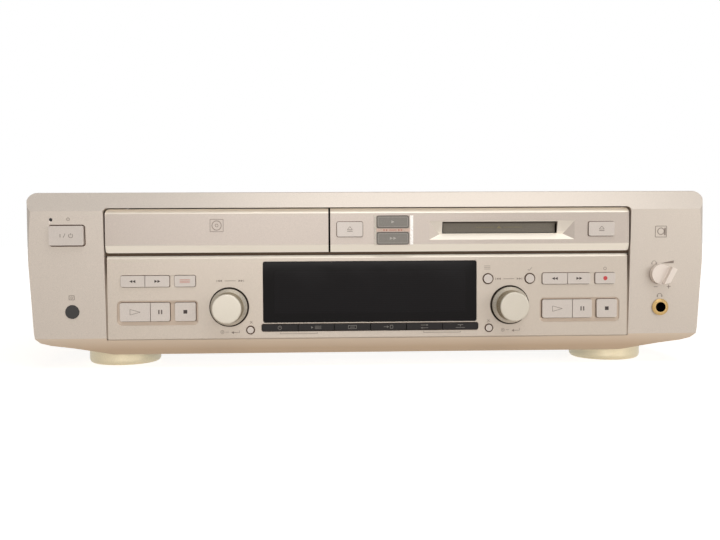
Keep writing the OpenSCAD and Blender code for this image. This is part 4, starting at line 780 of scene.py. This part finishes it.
half_w, half_h, mid = 10.5, 4.05, (kz + lz) / 2
foot_z, top_z = lz - half_h, kz + half_h
printed("plate_bright_edge", [block(kx + half_w + 0.5, kx + half_w + 2.4, foot_z, top_z)], plate_y,
        finish("bright trim", (252, 249, 243), 0.3, fleck=1500, bump=0.0, metallic=0.2))
printed("plate_pale_edge", [block(kx - half_w - 1.3, kx - half_w - 0.1, foot_z, top_z)], plate_y,
        finish("pale trim", (226, 219, 208), 0.4, fleck=1500, bump=0.01))
printed("plate_bar", [block(kx - half_w, kx + half_w + 0.4, mid - 1.05, mid + 1.05)], plate_y,
        finish("rosy trim", (232, 206, 192), 0.45, fleck=1500, bump=0.01))
printed("plate_marks", [[(kx + s, mid + 0.55), (kx + s, mid - 0.55), (kx + s + 1.2, mid)]
                        for s in (-6.0, -4.4, 3.4, 5.0)] + [line(kx - 2.6, mid, kx + 2.4, mid, 0.35)],
        flat(upper_y - 0.05), finish("red mark", (206, 112, 92), 0.55, bump=0.0))
white_ink = print_ink("white print", (196, 192, 186))
for name, x, z, y, count in (("sync_upper_key", kx, kz, ky, 1), ("sync_lower_key", lx, lz, ly, 2)):
    tails = [x + s * 2.2 - count for s in range(count)]
    printed(name + "_arrows", [[(u, z + 0.9), (u, z - 0.9), (u + 1.9, z)] for u in tails],
            flat(y), white_ink, name)

# painted highlight: a pale line printed just inside the edge of each dark key's dished top, where the light
# would catch it
rim_highlight = finish("pale key edge highlight", (172, 167, 161), 0.4, fleck=2000, bump=0.0)
rim_in = 0.75
for name, y in (("sync_upper_key", ky), ("sync_lower_key", ly)):
    x0, x1, z0, z1 = key_hole((name,), y)[:4]
    ring = outline(x0 + rim_in, x1 - rim_in, z0 + rim_in, z1 - rim_in, 0.8)
    printed(name + "_rim_highlight", [line(*a, *b, 0.26) for a, b in zip(ring, ring[1:] + ring[:1])], flat(y),
            rim_highlight, name)

# ---------------------------------------------------------------------------
# Power key and what is printed on the cheeks. The key is a thick cap at the
# left; the lamp and the infrared window are dark lenses pushed in from behind.
cheek_top_y, cheek_top_z, cheek_lean, cheek_h = -130.5, 100.5, 5, 80.3


def cheek(z):
    """The y of the leaning cheeks at height z, in mm."""
    return cheek_top_y + (cheek_top_z - z) * cheek_lean / cheek_h


x, z, y = middle("power_key")
printed("power_mark", [line(x - 3.6, z - 1.1, x - 3.6, z + 1.1, 0.4),
                       line(x - 1.7, z - 1.3, x - 0.5, z + 1.3, 0.35),
                       line(x + 2.9, z + 0.3, x + 2.9, z + 1.5, 0.35)]
        + arc_line(x + 2.9, z - 0.1, 1.25, 125, 415, 0.35), flat(y), pale_ink, "power_key")
dress(finish("dark lens", (22, 18, 19), 0.08, fleck=500, fleck_depth=0.02, bump=0.0, coat=0.5),
      "front_lenses")


def headphones(x, z, r):
    """A band with two ear pads."""
    return arc_line(x, z - r * 0.4, r, 0, 180, 0.32) + [
        line(x + s * r, z - r, x + s * r, z - r * 0.1, 0.6) for s in (-1, 1)]


# headphones over the jack, and beside a wedge over the level knob, with less and more under it
cheek_signs = headphones(186.9, 45.3, 1.5) + headphones(182.6, 66.4, 1.4)
cheek_signs += [[(186.4, 65.6), (195.4, 65.6), (195.4, 67.4)]]
cheek_signs += [line(182.9, 50.5, 185.4, 50.5, 0.45), line(191.4, 50.5, 193.9, 50.5, 0.45),
                line(192.65, 49.25, 192.65, 51.75, 0.45)]
# an on and off sign at the standby lamp's right, and a remote sign over the infrared window
cheek_signs += arc_line(-188.2, 95.5, 0.9, 120, 420, 0.3) + [line(-188.2, 95.6, -188.2, 96.8, 0.3)]
cheek_signs += [line(-189.4, 45.0 + s, -186.2, 45.0 + s, 0.35) for s in (0.0, 2.6)]
cheek_signs += [line(-187.8 + s, 44.9, -187.8 + s, 47.7, 0.35) for s in (-1.6, 1.6)]
cheek_signs += arc_line(-187.8, 46.2, 0.6, 0, 360, 0.3, 12)
printed("cheek_signs", cheek_signs, cheek, pale_ink)

# ---------------------------------------------------------------------------
# Headphones jack. A gold-plated ring screwed into the right cheek from the
# front, with the black mouth of a 6.35 mm socket in it.
phones_x, phones_z, mouth_r = 0.1873, 0.0374, 0.00322


def jack_mouth_shade(tree, place, colour):
    """The gold stops at the ring; inside it the socket is coloured black, partly the socket's own black
    plastic and partly painted shade deep in the hole.
    """
    axes = axes_of(tree, place)
    across, up = joined(tree, "SUBTRACT", axes["X"], phones_x), joined(tree, "SUBTRACT", axes["Z"], phones_z)
    radius = joined(tree, "SQRT", joined(tree, "ADD", joined(tree, "MULTIPLY", across, across),
                                         joined(tree, "MULTIPLY", up, up)))
    return mixed(tree, linear((12, 10, 9)), colour, banded(tree, radius, mouth_r, mouth_r + 0.00004))


# the socket mouth is coloured black, partly painted shade
gold = finish("gold plate", (188, 158, 106), 0.3, fleck=800, fleck_depth=0.03, bump=0.01, metallic=0.8,
              change=jack_mouth_shade)
dress(gold, "phones_jack")

# ---------------------------------------------------------------------------
# Dials and level knob. Turned plastic with a satin face and a metallic side, standing in a ring cut into the
# panel; the darker barrel and the dark brown ring are painted shade.
barrel_front, barrel_back = -0.1417, -0.1323        # y where the straight barrel starts and ends, in metres


def dial_barrel_shade(tree, place, colour):
    """Painted shade and reflection: the straight barrel is coloured a darker olive gold than the face and the
    flared skirt.
    """
    depth = axes_of(tree, place)["Y"]
    barrel = joined(tree, "MULTIPLY", banded(tree, depth, barrel_front - 0.0003, barrel_front + 0.0003),
                    banded(tree, depth, barrel_back - 0.0005, barrel_back + 0.0005, 1.0, 0.0))
    return mixed(tree, colour, linear((140, 127, 98)), barrel)


dial_paint = finish("dial paint", (210, 203, 190), 0.27, fleck=3200, fleck_depth=0.006, bump=0.004,
                    metallic=0.35, change=dial_barrel_shade)
# painted shade for the dial recesses
well_shade = finish("dial well shade", (50, 38, 28), 0.5, fleck=1500, bump=0.02)
# painted shade: a dark brown ring lines the recess round the skirt, with a fine lip
well_profile = [(4.4, -1.58), (12.56, -1.58), (12.56, -0.1), (12.2, -0.1), (12.0, -1.3), (4.4, -1.45)]
for name in ("cd_dial", "md_dial"):
    dress(dial_paint, name)
    soften(name, 0.25, 3)
    x, z, y = middle(name)
    piece(name + "_well_shade", lathe([((x, panel_y, z), (0, -1, 0), well_profile)], 64), well_shade)
dress(finish("knob paint", (236, 225, 216), 0.34, fleck=3200, fleck_depth=0.004, cloud_depth=0.0, bump=0.0,
             metallic=0.15), "level_knob")
soften("level_knob", 0.5, 3)

# ---------------------------------------------------------------------------
# Display window. One sheet of smoked acrylic with a black border printed on
# its back; the display tube behind is dark when the deck is off.


def tube_behind(tree, place, colour):
    """The display tube's grey grid just shows through the smoke, inside the printed border."""
    axes = axes_of(tree, place)
    low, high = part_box("display_window")
    inside = 1.0
    for name, k, border in (("X", 0, 0.007), ("Z", 2, 0.006)):
        for near, far in ((low[k] + border, low[k] + border + 0.0002),
                          (high[k] - border, high[k] - border - 0.0002)):
            inside = joined(tree, "MULTIPLY", banded(tree, axes[name], near, far), inside)
    mesh = tree.nodes.new("ShaderNodeTexWave")
    mesh.bands_direction = "Z"
    mesh.inputs["Scale"].default_value = 260.0
    tree.links.new(place, mesh.inputs["Vector"])
    tube = mixed(tree, linear((12, 9, 12)), linear((18, 15, 18)), mesh.outputs["Fac"])
    return mixed(tree, colour, tube, inside)


smoked = finish("smoked acrylic", (9, 6, 8), 0.07, fleck=30, fleck_depth=0.1, bump=0.0, specular=0.12,
                change=tube_behind)
dress(smoked, "display_window")

# ---------------------------------------------------------------------------
# Cartridge slot. A dark flap, hinged at its top edge, closes the slot; it
# swings in when a cartridge is pushed.


def flap_painted_shade(tree, place, colour):
    """Painted shade: the flap's two ends are darkened where the slot's shade falls on them, and so is a band
    along its top edge.
    """
    axes = axes_of(tree, place)
    low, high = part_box("slot_flap")
    for near, far in ((low[0] + 0.0024, low[0] + 0.0009), (high[0] - 0.0024, high[0] - 0.0009)):
        colour = mixed(tree, colour, linear((34, 27, 23)), banded(tree, axes["X"], near, far))
    return mixed(tree, colour, linear((84, 78, 70)),
                 banded(tree, axes["Z"], high[2] - 0.0016, high[2], 0.0, 0.8))


# the flap's ends and top edge carry painted shade
dress(finish("flap paint", (128, 122, 111), 0.45, fleck=1500, bump=0.05, change=flap_painted_shade), "slot_flap")
soften("slot_flap", 0.15, 2)
fx, fz, fy = middle("slot_flap")
printed("flap_arrow", [line(fx - 15, fz, fx - 3.2, fz, 0.3), line(fx + 3.2, fz, fx + 15, fz, 0.3),
                       [(fx - 1.6, fz - 0.7), (fx + 1.6, fz - 0.7), (fx, fz + 1.0)]],
        flat(fy), finish("flap print", (150, 143, 108), 0.6, bump=0.0), "slot_flap")

# ---------------------------------------------------------------------------
# Signs on the panels. A disc on the tray front and a cartridge on the right
# cheek, printed as plain outlines in grey ink.
x, z = -96.6, 91.2
printed("disc_sign", box_lines(x, z, 4.1, 3.9, 0.35) + arc_line(x, z, 2.9, 0, 360, 0.5, 36)
        + arc_line(x, z, 0.9, 0, 360, 0.35), flat(box_mm("cd_tray_front")[0][1]), pale_ink, "cd_tray")
x, z = 186.4, 86.0
printed("cartridge_sign", box_lines(x, z, 3.6, 3.5, 0.4) + arc_line(x, z + 0.2, 2.1, 0, 360, 0.5, 30)
        + [line(x + 2.6, z - 2.4, x + 2.6, z + 2.4, 1.0)], cheek, pale_ink)
